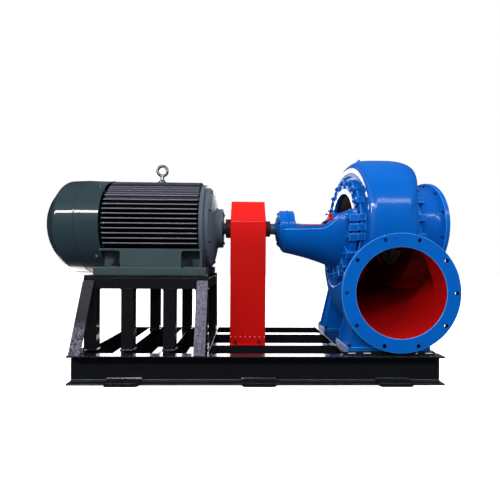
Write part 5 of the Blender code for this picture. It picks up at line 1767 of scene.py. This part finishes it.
def make_suction_cover():
    """The cover with its neck, its lugs and the suction flange with its holes."""
    low, high = node_box("pump_suction_cover")
    left, face = low.x, high.x
    back = face - 0.026
    bore = SUCTION_BORE
    bm = bmesh.new()
    add_turned(bm, [(left, bore), (left, 0.316, 0.002), (left + 0.036, 0.316, 0.005),
                    (left + 0.042, 0.296), (left + 0.058, 0.280), (left + 0.085, 0.269),
                    (back - 0.060, 0.269), (back - 0.030, 0.279), (back - 0.010, 0.296),
                    (back, 0.323, 0.003), (face, 0.323, 0.003), (face, bore, 0.002)],
               hollow=True, steps=144)
    for angle in LUG_ANGLES:
        add_lug(bm, angle, left, left + 0.055)
    paint_edge_highlights(bm)
    holes = bmesh.new()
    for angle in spread(12, 15):
        add_cylinder(holes, around(SUCTION_BOLT_CIRCLE, angle, back - 0.02),
                     around(SUCTION_BOLT_CIRCLE, angle, face + 0.02), HOLE_RADIUS, 32)
    bm = carve(bm, (holes,), overlapping=True)
    piece("cast_suction_cover", bm, "pump_blue", node="pump_suction_cover", looks=(PUMP_PAINT, HIGHLIGHT_BLUE))


def make_suction_lining():
    """Near black primer as painted shade in the suction cover's bore, with a lip over its end in the casing.
    """
    low, high = node_box("pump_suction_cover")
    start, lip, end = low.x - 0.001, low.x + 0.002, high.x - 0.004
    inner, outer, brim = SUCTION_BORE - 0.0015, SUCTION_BORE + 0.001, SUCTION_BORE + 0.011
    turned_piece("suction_lining",
                 [(start, inner), (end, inner), (end, outer), (lip, outer), (lip, brim), (start, brim)],
                 "guard_red", looks=(SHADE_PRIMER,), steps=144)


def add_foot_wall(bm, low, high, foot, head, bevel):
    """A tapered wall. foot and head say how far each side is set back from the box at its ends."""
    rings = []
    for z, (left, right, front, rear) in ((low.z + 0.018, foot), (FOOT_HEAD, head)):
        rings.append(flat_ring(low.x + left, high.x - right, low.y + front, high.y - rear, z))
    add_loft(bm, rings, bevel=bevel)


def make_pump_feet():
    """Cast pedestals: a thick sole, tapered walls and raised borders, cut to fit the volute."""
    for row, front, rear in PUMP_FEET:
        low, high = node_box(f"pump_foot_{row}")
        low.y, high.y = front, rear
        far = rear - front - 0.040
        bm = bmesh.new()
        add_box(bm, low, (high.x, rear, low.z + SOLE_THICKNESS), 0.003)
        add_foot_wall(bm, low, high, (0.022, 0.030, 0.022, 0.022), (0.087, 0.070, 0.057, 0.057), 0.003)
        add_foot_wall(bm, low, high, (0.010, 0.020, 0.010, far), (0.075, 0.060, 0.045, far - 0.035), 0.004)
        add_foot_wall(bm, low, high, (0.010, 0.020, far, 0.010), (0.075, 0.060, far - 0.035, 0.045), 0.004)
        paint_edge_highlights(bm)
        tool = bmesh.new()
        add_loft(tool, volute_rings(-0.0006, 0.46, OUTLET_RADIUS + 0.0006))
        bm = carve(bm, (tool,), overlapping=True)
        piece(f"cast_foot_{row}", bm, "pump_blue", node=f"pump_foot_{row}", looks=(PUMP_PAINT, HIGHLIGHT_BLUE))


def make_foot_bolts():
    top = node_box("pump_foot_front")[0].z + SOLE_THICKNESS
    bm = bmesh.new()
    for _, front, rear in PUMP_FEET:
        for x in (0.626, 1.098):
            for y in (front + 0.012, rear - 0.012):
                add_bolt(bm, (x, y, top), UP, 0.014, stud=0.006)
    piece("foot_bolts", bm, "bright_steel", looks=(DARK_BOLT,))


# Impeller and fan


VANES = 4
VANE_STEPS = 22
VANE_TWIST = 95
FAN_BLADES = 8
FAN_RADIUS = 0.262


def vane_section(left, share, start):
    """One section of a vane: out from the hub on one side of it and back on the other."""
    x = left + 0.004 + 0.176 * share
    angle = start + radians(VANE_TWIST) * share
    root = 0.160 * (1 - share) + 0.020 * share
    tip = 0.248 - 0.010 * share
    points = []
    for step in (0, 1, 2, 3, 4, -3, -2, -1):
        out = abs(step) / 4
        radius = root + (tip - root) * out
        half = (0.010 - 0.005 * out) / radius
        turn = angle + (half if step >= 0 else -half)
        points.append(Vector((x, -radius * sin(turn), SHAFT_Z + radius * cos(turn))))
    return points


def make_impeller():
    """Mixed flow impeller: a coned hub with four twisted vanes and a nut."""
    left = 0.860
    bm = bmesh.new()
    add_turned(bm, [(left, 0.0), (left, 0.190, 0.003), (left + 0.012, 0.190, 0.003),
                    (0.930, 0.105, 0.040), (1.010, 0.062, 0.040), (1.056, 0.036, 0.010),
                    (1.066, 0.0)], corners=6)
    for vane in range(VANES):
        start = 2 * pi * vane / VANES
        add_loft(bm, [vane_section(left, i / VANE_STEPS, start) for i in range(VANE_STEPS + 1)])
    # The impeller is near black primer: painted shade inside the casing.
    piece("cast_impeller", bm, "pump_blue", ROTOR, "pump_impeller", looks=(SHADE_PRIMER,))


def make_fan():
    """The motor's fan: a hub, a disc and blades with rounded edges."""
    left, right = -1.190, -1.100
    blade = rounded([(left + 0.010, 0.054), (right - 0.004, 0.054), (right - 0.004, FAN_RADIUS),
                     (left + 0.010, 0.250, 0.030)])
    bm = bmesh.new()
    add_turned(bm, [(left, 0.0303), (left, 0.060, 0.004), (right, 0.070, 0.004), (right, 0.0303)],
               hollow=True, steps=64)
    add_turned(bm, [(right - 0.006, 0.060), (right - 0.006, FAN_RADIUS, 0.002),
                    (right, FAN_RADIUS, 0.002), (right, 0.060)], hollow=True)
    for number in range(FAN_BLADES):
        turn = Matrix.Rotation(2 * pi * number / FAN_BLADES, 4, "X")
        matrix = Matrix.Translation((0, 0, SHAFT_Z)) @ turn @ frame_matrix((0, 0.004, 0), RIGHT, UP)
        add_prism(bm, blade, matrix, 0.008, 0.0015)
    piece("moulded_fan", bm, "black_plastic", ROTOR, "motor_fan")


make_camera()
make_room()
make_floor()
make_lights()
make_long_beams()
make_end_beams()
make_inside_beams()
make_sole_plate()
make_stand_frames()
make_stand_rails()
make_legs()
make_motor_body()
make_side_fins()
make_shoulder_fins()
make_top_fins()
make_motor_feet()
make_holding_bolts()
make_motor_ends()
make_cowl()
make_grille()
make_cowl_screws()
make_terminal_box()
make_eye_bolt()
make_fan()
make_guard()
make_coupling()
make_shafts()
make_bracket()
make_bearing_barrel()
make_bearing_cover()
make_bracket_bosses()
make_bracket_flange()
make_studs()
make_rear_cover()
make_packing_valve()
make_casing()
make_arch_rim()
make_cover_seat()
make_discharge_flange()
make_discharge_lining()
make_casing_plugs()
make_suction_cover()
make_suction_lining()
make_pump_feet()
make_foot_bolts()
make_impeller()
